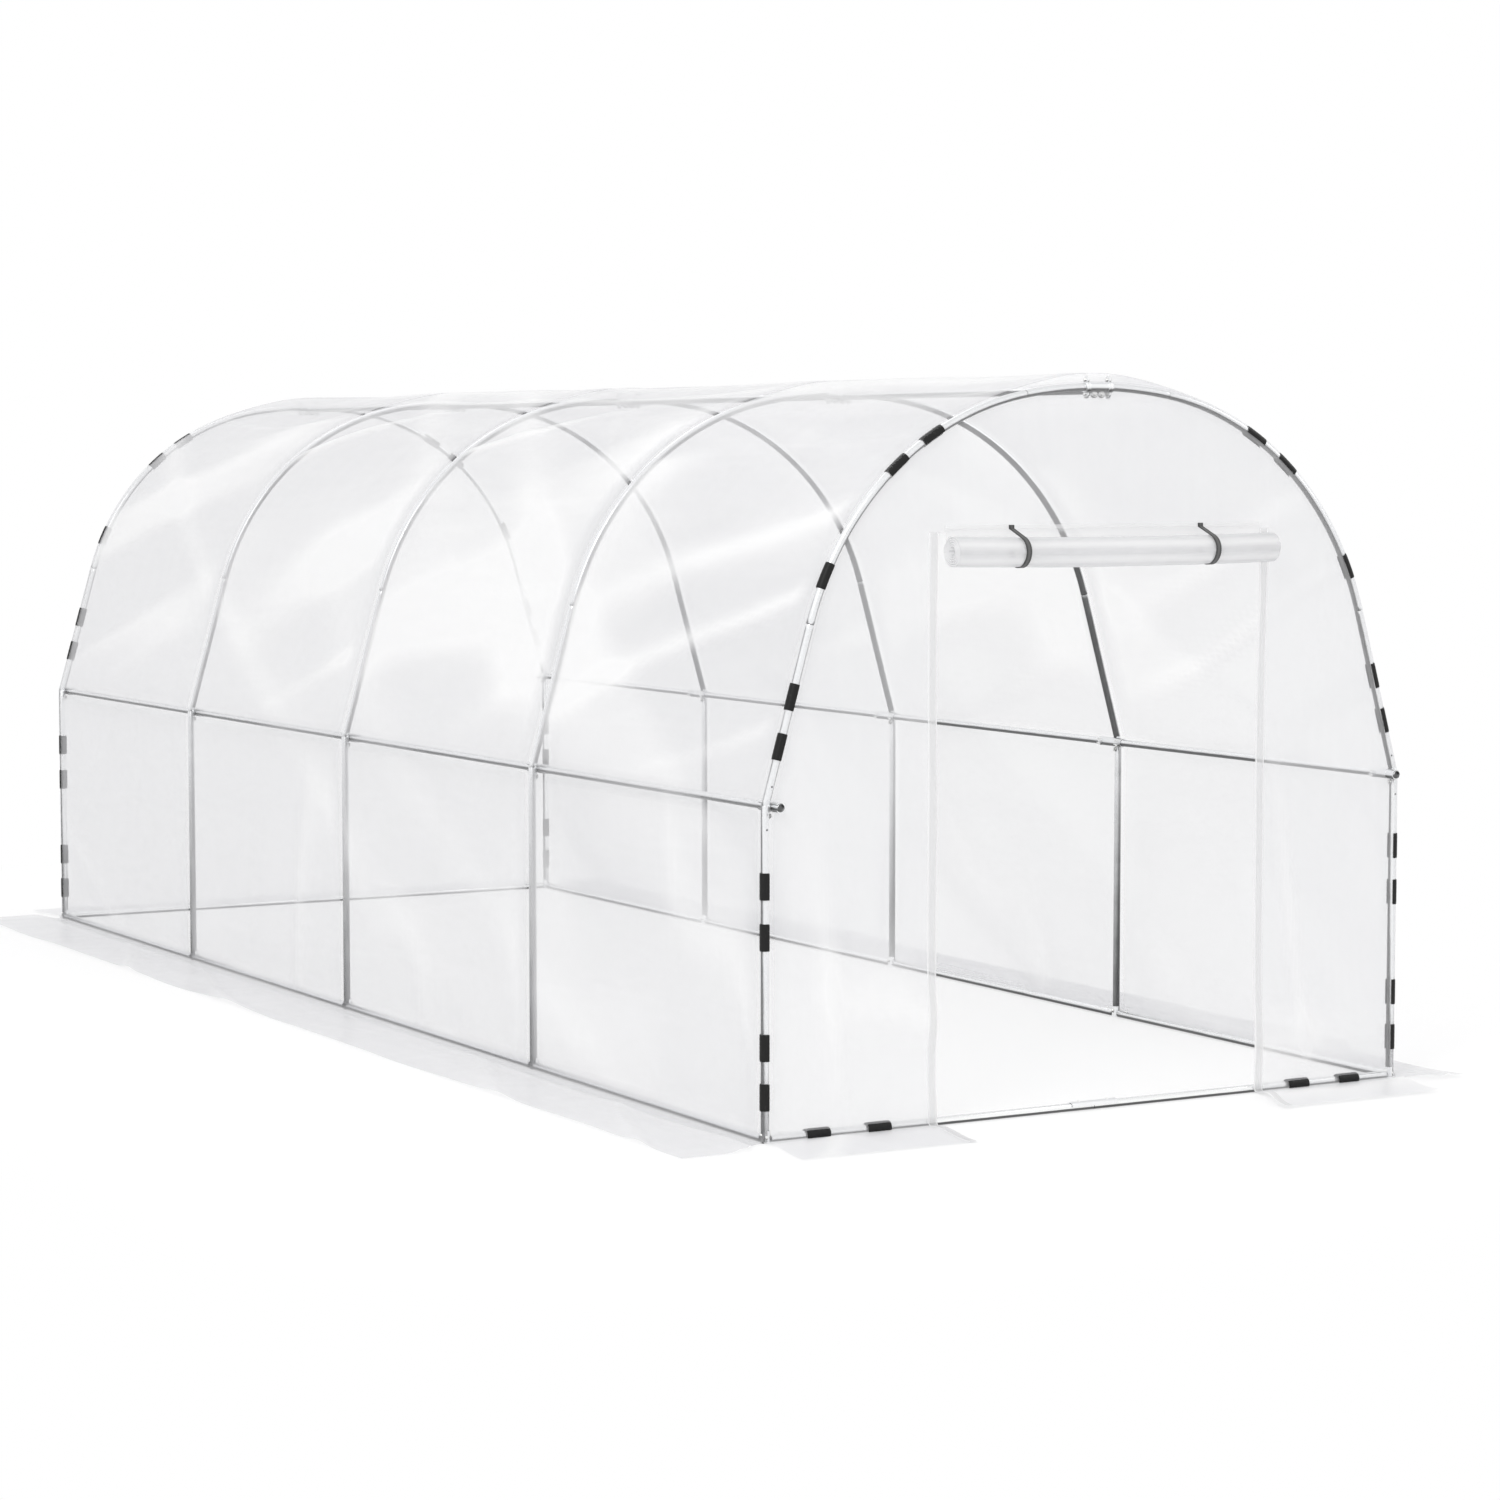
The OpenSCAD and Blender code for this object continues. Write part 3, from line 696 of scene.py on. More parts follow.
def swept_shell(shape, path, side_dir, front_dir, section, swell):
    """A closed section, an outer line and an inner line back, carried along a short path and closed at
    both ends: point = path + swell * (s0 * side + s1 * front)."""
    side_dir = np.broadcast_to(np.asarray(side_dir, float), path.shape)
    front_dir = np.broadcast_to(np.asarray(front_dir, float), path.shape)
    points = path[:, None] + swell[..., None] * (section[None, :, :1] * side_dir[:, None]
                                                 + section[None, :, 1:] * front_dir[:, None])
    shape.grid(points, wrap_cols=True)
    m = len(section)
    k = np.arange(m // 2 - 1)
    strip = np.stack([k, m - 1 - k, m - 2 - k, k + 1], -1)
    shape.add(points[0], strip)
    return shape.add(points[-1], strip[:, ::-1])


def near_ends(s, reach):
    """1 at both ends of a line and 0 away from them, as bell curves."""
    return np.exp(-(s / reach) ** 2) + np.exp(-((s[-1] - s) / reach) ** 2)


def pressed(shape, path, side_dir, front_dir, section, bead):
    """Pressed shell, whose radius grows by a bead at both ends."""
    path = np.asarray(path, float)
    swell = 1 + bead * near_ends(along(path), 0.003)
    return swept_shell(shape, path, side_dir, front_dir, section, swell[:, None])


def ridge_fittings():
    """Cross fittings at the ridge: a saddle under the bow, a socket on each ridge pole end, two collars
    round the bow with a rounded ear above and below, and two ears under its middle. Each ear has a bolt
    through it."""
    shape, bolts = Shape(), Shape()
    saddle = shell_section(34, 326, 0.0032)
    socket = shell_section(38, 322)
    collar = [(TUBE_R + 0.0002, -0.0055), (TUBE_R + 0.0052, -0.0052), (TUBE_R + 0.0060, -0.0040),
              (TUBE_R + 0.0060, 0.0040), (TUBE_R + 0.0052, 0.0052), (TUBE_R + 0.0002, 0.0055)]
    angle = np.linspace(0.0455, -0.0455, 9) / CROWN_R
    for i, y in enumerate(HOOP_Y):
        out = np.stack([-np.sin(angle), 0 * angle, np.cos(angle)], -1)
        arch = np.array([0, y, CROWN_Z]) + CROWN_R * out
        pressed(shape, arch, out, (0, -1, 0), saddle, 0.05)
        for way in (-1, 1):
            if (i == 0 and way < 0) or (i == 4 and way > 0):
                continue
            a, b = (y + 0.011, y + 0.042) if way > 0 else (y - 0.042, y - 0.011)
            pressed(shape, straight([0, a, POLE_Z], [0, b, POLE_Z], 5), (0, 0, 1), (1, 0, 0), socket, 0.05)
        for x in (-0.038, 0.034):
            bow_z = CROWN_Z + math.sqrt(CROWN_R ** 2 - x ** 2)
            lathe(shape, (x, y, bow_z), (1, 0, -x / CROWN_R), collar, 32)
            half = 0.0034
            for z in (bow_z + TUBE_R + 0.008, bow_z - TUBE_R - 0.009):
                lathe(shape, (x, y, z), (1, 0, 0), [(0, -half), (0.0085, -half), (0.0112, -half + 0.0016),
                      (0.0112, half - 0.0016), (0.0085, half), (0, half)], 28)
                bolt(bolts, (x - half, y, z), (-1, 0, 0), 0.0048, 0.0042)
                bolt(bolts, (x + half, y, z), (1, 0, 0), 0.0048, 0.0048)
        for x in (-0.012, 0.012):
            z = RIDGE - TUBE_R - 0.0085
            lathe(shape, (x, y, z), (0, 1, 0), [(0, -0.0042), (0.0085, -0.0042), (0.0108, -0.0022),
                  (0.0112, 0), (0.0108, 0.0022), (0.0085, 0.0042), (0, 0.0042)], 28)
            bolt(bolts, (x, y - 0.0042, z - 0.001), (0, -1, 0), 0.0050, 0.0040)
            bolt(bolts, (x, y + 0.0042, z - 0.001), (0, 1, 0), 0.0050, 0.0048)
    put(shape.piece("ridge_cross_fittings", PRESSED, keep_sharp=40), ["ridge_connectors"])
    put(bolts.piece("ridge_bolts", BOLT, keep_sharp=30))


def shoulder_fittings():
    """Shoulder fittings: a band round the inner half of each post, a long sleeve on the side rail beside
    it, flanged along its inner side and bolted at both ends, and a bolt through the band."""
    right, bolts = Shape(), Shape()
    band = shell_section(92, 268)
    sleeve = shell_section(128, 412, 0.0028)
    ear = [(-0.0012, -0.0005), (-0.0012, 0.0105), (0.0012, 0.0105), (0.0012, -0.0005)]
    for i, y in enumerate(HOOP_Y):
        pressed(right, straight([HALF_W, y, RAIL_Z - 0.017], [HALF_W, y, RAIL_Z + 0.017], 7),
                (1, 0, 0), (0, 1, 0), band, 0.04)
        a = y - (0.042 if i == 0 else 0.060)
        b = y + (0.042 if i == 4 else 0.060)
        pressed(right, straight([RAIL_X, a, RAIL_Z], [RAIL_X, b, RAIL_Z], 13), (0, 0, 1), (1, 0, 0),
                sleeve, 0.05)
        for end, inward in ((a, 1), (b, -1)):
            if abs(end - y) < 0.05:
                continue
            middle = end + inward * 0.013
            for way in (-1, 1):
                at = [RAIL_X - (TUBE_R + 0.001), middle, RAIL_Z + way * 0.0045]
                flange = carried(straight([at[0], middle - 0.009, at[2]], [at[0], middle + 0.009, at[2]], 5),
                                 (1, 0, 0), np.array(ear) * [1, -1])
                right.grid(flange, wrap_cols=True, flip=True).capped(flange)
            for way, tall in ((1, 0.0040), (-1, 0.0050)):
                bolt(bolts, (RAIL_X - TUBE_R - 0.0065, middle, RAIL_Z + way * 0.0055), (0, 0, way),
                     0.0044, tall)
        bolt(bolts, (HALF_W - TUBE_R - 0.003, y, RAIL_Z - 0.024), (-1, 0, 0), 0.0048, 0.0040)
    put(right.join(right.mirrored()).piece("shoulder_fittings", PRESSED, keep_sharp=40),
        ["shoulder_clamps"])
    put(bolts.join(bolts.mirrored()).piece("shoulder_bolts", BOLT, keep_sharp=30))


def foot_fittings():
    """Half collars round the inside of each foot with their bolts, couplers over the middle of the end
    base rails, and the bolt heads and holes along the tubes."""
    right, bolts, holes = Shape(), Shape(), Shape()
    collar = shell_section(92, 268)
    for y in HOOP_Y:
        pressed(right, straight([HALF_W, y, 0.0], [HALF_W, y, 0.034], 7), (1, 0, 0), (0, 1, 0), collar, 0.04)
        bolt(bolts, (HALF_W - TUBE_R - 0.003, y, 0.020), (-1, 0, 0), 0.0052, 0.0042)
        for way in (-1, 1):
            if (y == FRONT and way < 0) or (y == REAR and way > 0):
                continue
            rivet(bolts, (HALF_W, y + way * 0.055, BASE_Z + TUBE_R), (0, 0, 1), 0.0045, 0.0028)
    for y, way in ((FRONT, -1), (REAR, 1)):
        rivet(bolts, (HALF_W, y + way * TUBE_R, 0.016), (0, way, 0), 0.0050, 0.0030)
        rivet(bolts, (HALF_W + TUBE_R, y, 0.022), (1, 0, 0), 0.0045, 0.0028)
        rivet(bolts, (HALF_W - 0.045, y, BASE_Z + TUBE_R), (0, 0, 1), 0.0045, 0.0026)
        rivet(bolts, (0.048, y, BASE_Z + TUBE_R + 0.003), (0, 0, 1), 0.0045, 0.0026)
    put(right.join(right.mirrored()).piece("foot_collars", PRESSED, keep_sharp=40),
        ["foot_brackets"])
    coupler = Shape()
    section = shell_section(-84, 84)
    for y in (FRONT, REAR):
        pressed(coupler, straight([-0.075, y, BASE_Z], [0.075, y, BASE_Z], 9), (0, 0, 1), (0, -1, 0),
                section, 0.05)
    put(coupler.piece("base_rail_couplers", PRESSED, keep_sharp=40), ["base_couplers"])
    put(bolts.join(bolts.mirrored()).piece("foot_and_rail_bolts", BOLT, keep_sharp=30))
    for y, way in ((FRONT, -1), (REAR, 1)):
        at = np.array([HALF_W, y, SHOULDER]) + UP_LEAN * 0.055
        for place in (at, np.array([HALF_W, y, SHOULDER - 0.060])):
            lathe(holes, place + np.array([0, way * (TUBE_R - 0.0004), 0]), (0, way, 0),
                  [(0.0024, -0.0010), (0.0026, 0.0006), (0.0020, 0.0007), (0, 0.0006)], 14)
    put(holes.join(holes.mirrored()).piece("tube_pin_holes", DARK_HOLE))


# ---- Film ----

LIFT = TUBE_R + FILM_LIFT
FILLET = 0.011
COVER_WRAP = 105
WALL_WRAP = 120
FRONT_DEPTH = SKIRT_FRONT - LIFT - 0.004
REAR_DEPTH = SKIRT_REAR - LIFT - 0.004
FRONT_CORNERS = {-1: (-0.043, -0.035), 1: (-0.042, -0.085)}


def lie_down(width):
    """Film that comes down a wall and turns out over the ground, from the wall outwards: a quarter
    round, then level. Gives the distance out from the wall and the height."""
    turn = np.linspace(0, math.pi / 2, 7)
    bend = np.stack([FILLET * (1 - np.cos(turn)), FILLET * (1 - np.sin(turn))], -1)
    return np.concatenate([bend, straight([FILLET, 0], [width, 0], 24)[1:]])


def cover_stations():
    """Stations of the cover along the tunnel: distance along Y, the angle of the wrap round an end
    hoop (0 between the hoops) and which end it is at (-1 front, 0 neither, 1 rear). They stand closer
    together near the hoops."""
    wrap = np.radians(np.linspace(COVER_WRAP, 0, 10))[:-1]
    t = np.linspace(0, 1, 57)
    t = t - 0.5 * np.sin(2 * math.pi * t) / (2 * math.pi)
    bays = [(a + (b - a) * t)[:-1] for a, b in zip(HOOP_Y[:-1], HOOP_Y[1:])]
    y = np.concatenate(bays + [[REAR]])
    n = len(wrap)
    base = np.concatenate([np.full(n, FRONT), y, np.full(n, REAR)])
    angle = np.concatenate([wrap, np.zeros(len(y)), wrap[::-1]])
    end = np.concatenate([-np.ones(n), np.zeros(len(y)), np.ones(n)])
    return base, angle, end


def cover_push(s, total, y, height):
    """How far the cover stands out from the plain tunnel surface at each point, and how milky it looks
    there, with painted highlights. It sinks between hoops as 4 f (1 - f) of the bay. Soft ridges run along
    the roof and sag between the hoops, sweep down from the upper bows, and slant across the walls. Film
    is clear where it lies on a tube. Along its ridges, and in a band each side of the ridge, it is
    whitened as painted highlight."""
    bay = HOOP_Y[1] - HOOP_Y[0]
    frac = np.mod(y - FRONT, bay) / bay
    mid = 4 * frac * (1 - frac)
    reach = np.minimum(frac, 1 - frac) * bay
    free = smoothstep(0.0, 0.10, reach)
    wall = smoothstep(1.05, 0.60, height)
    upper = smoothstep(0.85, 1.25, height)
    from_ridge = np.abs(s - total / 2)
    side = np.sign(s - total / 2)
    sag = -(0.007 + 0.009 * wall) * mid
    drift = 0.10 * noise2(y * 1.1, s * 0.8, 5)
    along_roof = from_ridge - 0.07 * mid + drift * 0.4
    roof = ridges(along_roof * 6.5, y * 0.30 + 3, 3, 0.24) * np.exp(-(from_ridge / 0.42) ** 2)
    sweep = ridges((from_ridge - 0.45 * (frac - 0.5) + drift) * 3.4, y * 0.35, 12, 0.20)
    sweep = sweep * upper * smoothstep(0.25, 0.60, from_ridge)
    slant = ridges((from_ridge + 0.55 * y) * 1.7, from_ridge * 0.5, 23, 0.16) * (1 - 0.4 * wall)
    drape = ridges(y * 1.9 + 0.3 * side, from_ridge * 0.7, 31, 0.18) * wall
    broad = noise2(from_ridge * 1.6, y * 1.2, 41)
    low = np.exp(-(np.minimum(s, total - s) / 0.22) ** 2)
    hem = noise2(y * 4.0, from_ridge, 51) * low
    push = (sag + roof * 0.009 + sweep * 0.011 + slant * 0.008 + drape * 0.010 + hem * 0.007
            + broad * 0.005) * free
    push = np.minimum(push, 0.002 + 0.014 * smoothstep(0.05, 0.45, from_ridge))
    push = np.maximum(push, -0.009 - 0.012 * wall) * smoothstep(0.0, 0.06, np.minimum(s, total - s))
    # Painted highlight: whiteness along the ridges, standing for glints on them.
    white = roof * 0.9 + sweep * 1.0 + slant * 0.6 + drape * 0.45
    clear = np.exp(-(reach / 0.019) ** 2)
    rail = np.exp(-((height - RAIL_Z) / 0.017) ** 2) + np.exp(-((height - BASE_Z) / 0.018) ** 2)
    plain = 1 - 0.22 * smoothstep(-0.25, 0.35, s - total / 2) * smoothstep(1.75, 1.45, height)
    # Painted highlight: a band of extra whiteness each side of the ridge.
    top = 0.35 * np.exp(-((from_ridge - 0.16) / 0.13) ** 2)
    milky = (plain + top) * (1 - 0.72 * np.maximum(clear, np.minimum(rail, 1)))
    return push, milky + white * free


def crown_lift(from_ridge):
    """How far the cover stands off the bows near the ridge: a bell curve 26 mm high."""
    return 0.026 * np.exp(-(from_ridge / 0.23) ** 2)


def cover():
    """The tunnel's cover: the hoop's line, set out from the tubes, carried along the tunnel, wrapped
    round the end hoops and laid out over the ground at both sides as skirts."""
    line = whole_hoop(LIFT, 0.018, foot=FILLET)
    s = along(line)
    total = s[-1]
    tangent = unit(np.gradient(line, axis=0))
    outward = np.stack([-tangent[:, 1], tangent[:, 0]], -1)
    y0, angle, end = cover_stations()
    y = y0 + end * LIFT * np.sin(angle)
    push, milky = cover_push(s[:, None], total, y0[None, :], line[:, 1][:, None])
    inside = (end == 0)[None, :]
    push, milky = push * inside, np.where(inside, milky, 0.30)
    over = crown_lift(np.abs(s - total / 2))[:, None] * (1 - angle / math.radians(COVER_WRAP))[None, :]
    reach = LIFT * (np.cos(angle) - 1)[None, :] + push + over
    walls = np.zeros((len(s), len(y0), 3))
    walls[..., 0] = line[:, :1] + outward[:, :1] * reach
    walls[..., 2] = line[:, 1:] + outward[:, 1:] * reach
    walls[..., 1] = y[None, :]

    def skirt(side):
        """Ground part of one side, from the wall outwards: its width varies along Y, its corner swings
        past the end hoop, and it lies in low waves and a few folded ridges."""
        run = lie_down(1.0)
        out, up = run[:, :1], run[:, 1:]
        if side < 0:
            wide = np.full(len(y), SKIRT_L - LIFT - 0.004)
        else:
            wide = np.interp(y, [FRONT + 0.42, FRONT + 0.58], [0.200, SKIRT_L]) - LIFT - 0.004
        wide = wide + 0.004 * noise2(y * 2.3, 0 * y, 61 + side)
        far = np.clip((out - FILLET) / (1 - FILLET), 0, 1)
        x = np.minimum(out, FILLET) + far * (wide - FILLET)[None, :]
        swing = end * (angle / math.radians(COVER_WRAP)) * 0.093
        y_out = y[None, :] + swing[None, :] * smoothstep(0.0, 0.35, far)
        wave = (0.5 + 0.5 * noise2(y_out * 2.6, far * 1.2, 71 + side)) * 0.008
        ridge = ridges(y_out * 1.3 + far * 0.9, far * 0.6 + y_out * 0.2, 81 + side, 0.16) * 0.010
        fold = ridges(y_out * 0.35, far * 2.2, 91 + side, 0.22) * 0.008
        up = up + 0.0015 + (wave + ridge + fold) * smoothstep(0.02, 0.3, far)
        points = np.stack([side * (HALF_W + LIFT + x), y_out + 0 * x, up + 0 * x], -1)
        # Painted highlight: the haze is pushed past 1 along the skirt's ridges and folds.
        return points, far * 0.33, 1.0 + (0.45 * ridge / 0.010 + 0.35 * fold / 0.008) * far

    left, left_out, left_white = skirt(-1)
    right, right_out, right_white = skirt(1)
    points = np.concatenate([left[::-1], walls[1:-1], right])
    u = np.concatenate([-left_out[::-1, 0], s[1:-1], total + right_out[:, 0]])
    uv = np.stack(np.broadcast_arrays(u[:, None], y[None, :]), -1)
    haze = np.concatenate([left_white[::-1], milky[1:-1], right_white])
    obj = Shape().grid(points, uv=uv, haze=haze, flip=True).piece("film_cover", COVER_FILM)
    put(obj, ["cover_wall_left", "cover_wall_right", "cover_eave_left", "cover_eave_right",
                      "cover_haunch_left", "cover_haunch_right", "cover_crown_left",
                      "cover_crown_right", "skirt_left", "skirt_right"])
    total + 2 * SKIRT_L


def wall_push(x, z, t, seed):
    """How far end wall film stands out at a place, and how milky it looks, with painted highlights. It is
    taut and nearly flat high up. Lower down soft upright ridges stand out, two long ones slant down beside
    the doorway, and broad puffs lie near the ground; these are whitened as painted highlight. Nothing moves
    at the hoop, where t is 0, and there it is clear."""
    hold = smoothstep(0.0, 0.12, t)
    bend = 0.30 * noise2(x * 1.3, z * 1.1, 7 + seed)
    lower = smoothstep(1.30, 0.55, z)
    slant = ridges(x * 2.3 - z * 0.55 + bend, z * 0.25 + x * 0.4, 17 + seed, 0.15) * smoothstep(1.75, 1.25, z)
    fold = ridges(x * 3.1 + z * 0.5 + bend, z * 0.45, 13 + seed, 0.17) * lower
    puff = ridges(x * 2.6 + bend, z * 1.9, 29 + seed, 0.22) * smoothstep(0.62, 0.30, z)
    fan = ridges((z * 0.8 - x) * 1.4 + bend, z * 0.4 + x * 0.6, 11 + seed, 0.16) * smoothstep(1.2, 1.6, z)
    broad = noise2(x * 1.5, z * 1.1, 23 + seed)
    push = (slant * 0.009 + fold * 0.010 + puff * 0.012 + fan * 0.005 + broad * 0.006 - 0.006) * hold
    # Painted highlight: whiteness along the ridges and puffs.
    white = (slant * 0.9 + fold * 0.7 + puff * 1.0 + fan * 0.3) * hold
    clear = np.maximum(np.exp(-(t / 0.024) ** 2), 0.8 * np.exp(-((z - BASE_Z) / 0.018) ** 2))
    return np.maximum(push, -0.010), 1 - 0.72 * clear + white


def upright_share(gone, depth, z):
    """1 on an end wall's upright film, easing to 0 at its foot and over the ground."""
    return smoothstep(0.10, 0.0, gone / depth) * smoothstep(0.024, 0.14, z)


def skirt_lie(x, gone, seed):
    """Height of an end skirt above the ground: low waves and a few soft ridges across it."""
    wave = (0.5 + 0.5 * noise2(x * 3.6, gone * 4.0 + 1, 31 + seed)) * 0.007
    return wave, ridges(x * 1.9 + gone * 1.5, gone * 1.5 + x * 0.5, 37 + seed, 0.17) * 0.010


def wall_half(side, y, facing, inner, depth, corner_out, corner_in, seed):
    """Left or right half of an end wall film. Rows go from the ground skirt's free edge to the wall's
    foot, then up the hoop to the ridge. Columns wrap round the hoop from its outer side to its face,
    then run straight across to the inner line, given as X at a height share and Z."""
    line = whole_hoop(0.0, 0.012)
    s_line = along(line)
    lean_end = SHOULDER + LEAN_LEN
    run = lie_down(depth)[::-1]
    climb = np.concatenate([np.linspace(FILLET, lean_end, 90), np.linspace(lean_end, s_line[-1] / 2, 90)[1:]])
    gone = np.concatenate([run[:, 0], np.zeros(len(climb) - 1)])[:, None]
    up = np.concatenate([run[:, 1], np.zeros(len(climb) - 1)])[:, None]
    s = np.concatenate([np.zeros(len(run)), climb[1:]])
    tangent = unit(np.gradient(line, axis=0))
    outward = np.stack([-tangent[:, 1], tangent[:, 0]], -1)
    flip = np.array([-side, 1.0])
    hoop_at = resample(line, s) * flip
    normal = unit(np.stack([np.interp(s, s_line, outward[:, k]) for k in range(2)], -1)) * flip
    edge = inner(side, s, hoop_at[:, 1])
    t = np.linspace(0, 1, 44)[None, :]
    swing = smoothstep(0.0, 1.0, gone / depth)
    x = hoop_at[:, :1] * (1 - t) + edge[:, :1] * t + swing * (corner_out * (1 - t) + corner_in * t)
    z = hoop_at[:, 1:] * (1 - t) + edge[:, 1:] * t
    push, milky = wall_push(x, z, t + 0 * x, seed)
    on_wall = upright_share(gone, depth, z + 0 * x)
    ahead = LIFT + 0.001 + gone + push * on_wall
    wave, ridge = skirt_lie(x, gone, seed)
    lie = smoothstep(0.0, 0.25, gone / depth)
    z = z + up + 0.002 + (wave + ridge) * lie
    face = np.stack([x, y + facing * ahead, z], -1)
    wrap = np.radians(np.linspace(WALL_WRAP, 0, 11))[None, :-1]
    radius = LIFT + 0.001
    outside = radius * np.sin(wrap) * (1 - lie)
    before = np.where(gone > 0, radius + gone, radius * np.cos(wrap))
    bent = np.stack([hoop_at[:, :1] + normal[:, :1] * outside + swing * corner_out,
                     y + facing * before + 0 * outside,
                     hoop_at[:, 1:] + normal[:, 1:] * outside + up + 0.002 + (wave + ridge)[:, :1] * lie], -1)
    points = np.concatenate([bent, face], 1)
    # Painted highlight: on the skirt the haze is pushed past 1, most along its ridges.
    haze = np.concatenate([0.30 + 0.70 * lie + 0 * wrap,
                           1 + (milky - 1) * on_wall + (0.05 + ridge / 0.010 * 0.8) * lie], 1)
    uv = np.stack([points[..., 0] + seed, points[..., 2] - gone + seed * 0.37], -1)
    return points, uv, haze


def front_edge(side, s, z):
    """Inner line of the front wall: up the doorway's side level with the post, on to the doorway's top
    corner, and along its head to the middle."""
    lean_end = SHOULDER + LEAN_LEN
    low_z = HAUNCH_Z + HAUNCH_R * math.sin(LEAN)
    corner, ridge = lean_end + 0.45, along(whole_hoop(0.0, 0.012))[-1] / 2
    jamb, middle = (DOOR_L if side < 0 else DOOR_R), (DOOR_L + DOOR_R) / 2
    head = np.clip((s - corner) / (ridge - corner), 0, 1)
    x = jamb * (1 - head) + middle * head
    return np.stack([x, np.where(s <= lean_end, z, np.interp(s, [lean_end, corner], [low_z, DOOR_H]))], -1)


def rear_edge(side, s, z):
    """Inner line of the closed rear wall: straight up its middle."""
    return np.stack([0 * s, z], -1)


def gable_area():
    """Area inside the hoop line above the ground: the sum over its points of the height between two
    neighbours times the step across."""
    x, z = whole_hoop(LIFT).T
    return float(abs(np.sum((z[1:] + z[:-1]) / 2 * np.diff(x))))


def end_walls():
    """Front wall film, a band round the doorway, and rear wall film, closed. Each is cut to the hoop's
    outline, plus the edge turned round the hoop and the skirt."""
    turned = LIFT * math.radians(WALL_WRAP)
    gable = gable_area() + turned * along(whole_hoop(LIFT))[-1]
    door = DOOR_R - DOOR_L
    wide = 2 * (HALF_W + LIFT + turned)
    left, right = [wall_half(side, FRONT, -1, front_edge, FRONT_DEPTH, *FRONT_CORNERS[side], 5)
                   for side in (-1, 1)]
    joined = [np.concatenate([a, b[::-1][1:]]) for a, b in zip(left, right)]
    obj = Shape().grid(joined[0], uv=joined[1], haze=joined[2]).piece("front_wall_film", WALL_FILM)
    put(obj, ["front_panel_left", "front_panel_right", "front_header", "skirt_front_left",
                      "skirt_front_right"])
    RIDGE + turned + FRONT_DEPTH
    gable - door * DOOR_H + (2 * HALF_W - door) * FRONT_DEPTH
    left, right = [wall_half(side, REAR, 1, rear_edge, REAR_DEPTH, side * 0.04, 0.0, 9)
                   for side in (-1, 1)]
    joined = [np.concatenate([a, b[:, ::-1][:, 1:]], 1) for a, b in zip(left, right)]
    obj = Shape().grid(joined[0], uv=joined[1], haze=joined[2], flip=True).piece("rear_wall_film", WALL_FILM)
    put(obj, ["rear_panel", "skirt_rear"])
    RIDGE + turned + REAR_DEPTH
    gable + 2 * HALF_W * REAR_DEPTH


# ---- Doorway ----

def door_hems():
    """Doubled strips down the doorway's sides and along the front skirts' inner edges: a flat ribbon
    that follows the wall film's inner edge, a little proud of it, with a soft puff across."""
    depth = FRONT_DEPTH
    for side, name, jamb in ((-1, "left", DOOR_L), (1, "right", DOOR_R)):
        run = lie_down(depth)[::-1]
        z = np.concatenate([run[:, 1], np.linspace(FILLET, DOOR_H, 110)[1:]])
        gone = np.concatenate([run[:, 0], np.zeros(109)])
        u = np.linspace(0, 1, 17)[None, :]
        swing = smoothstep(0.0, 1.0, gone / depth)[:, None]
        drift = 0.003 * noise2(z * 3.0, 0 * z, 3 + side)[:, None]
        x = (jamb + side * (-0.0008 + u * (HEM_W + 0.0016)) + swing * FRONT_CORNERS[side][1]
             + drift * smoothstep(0, 0.2, z)[:, None])
        lie = smoothstep(0.0, 0.25, gone / depth)[:, None]
        wave, ridge = skirt_lie(x, gone[:, None], 5)
        puff = 0.0016 * np.sin(math.pi * u) ** 0.5
        push = wall_push(x, z[:, None] + 0 * x, 0.95 + 0 * x, 5)[0]
        on_wall = upright_share(gone, depth, z)[:, None]
        ahead = LIFT + 0.0035 + gone[:, None] + push * on_wall + puff * on_wall
        zz = z[:, None] + 0.0038 + (wave + ridge) * lie + puff * (1 - on_wall)
        points = np.stack([x, FRONT - ahead, zz], -1)
        uv = np.stack([x + 3, zz - gone[:, None]], -1)
        # Painted highlight: the strip is whitened along both long edges.
        edge_highlight = 1.0 + 1.1 * np.exp(-((u - 1) / 0.13) ** 2) + 1.1 * np.exp(-(u / 0.13) ** 2) + 0 * x
        shape = Shape().grid(points, uv=uv, haze=edge_highlight, flip=side < 0)
        obj = put(shape.piece(f"door_hem_{name}_strip", HEM_FILM), [f"door_hem_{name}"])
        DOOR_H + depth


ROLL_MID = (ROLL_LOW[0] + ROLL_HIGH[0]) / 2
ROLL_HALF = (ROLL_HIGH[0] - ROLL_LOW[0]) / 2
STRAP_PLACES = (STRAP_LOW[0] + STRAP_W / 2, STRAP_HIGH[0] - STRAP_W / 2)


def roll_sag(x):
    """How far the roll lies above its CAD line: it hangs 5 mm lower in its middle than at its ends, as
    a parabola."""
    return 0.002 - 0.005 * (1 - ((x - ROLL_MID) / ROLL_HALF) ** 2)


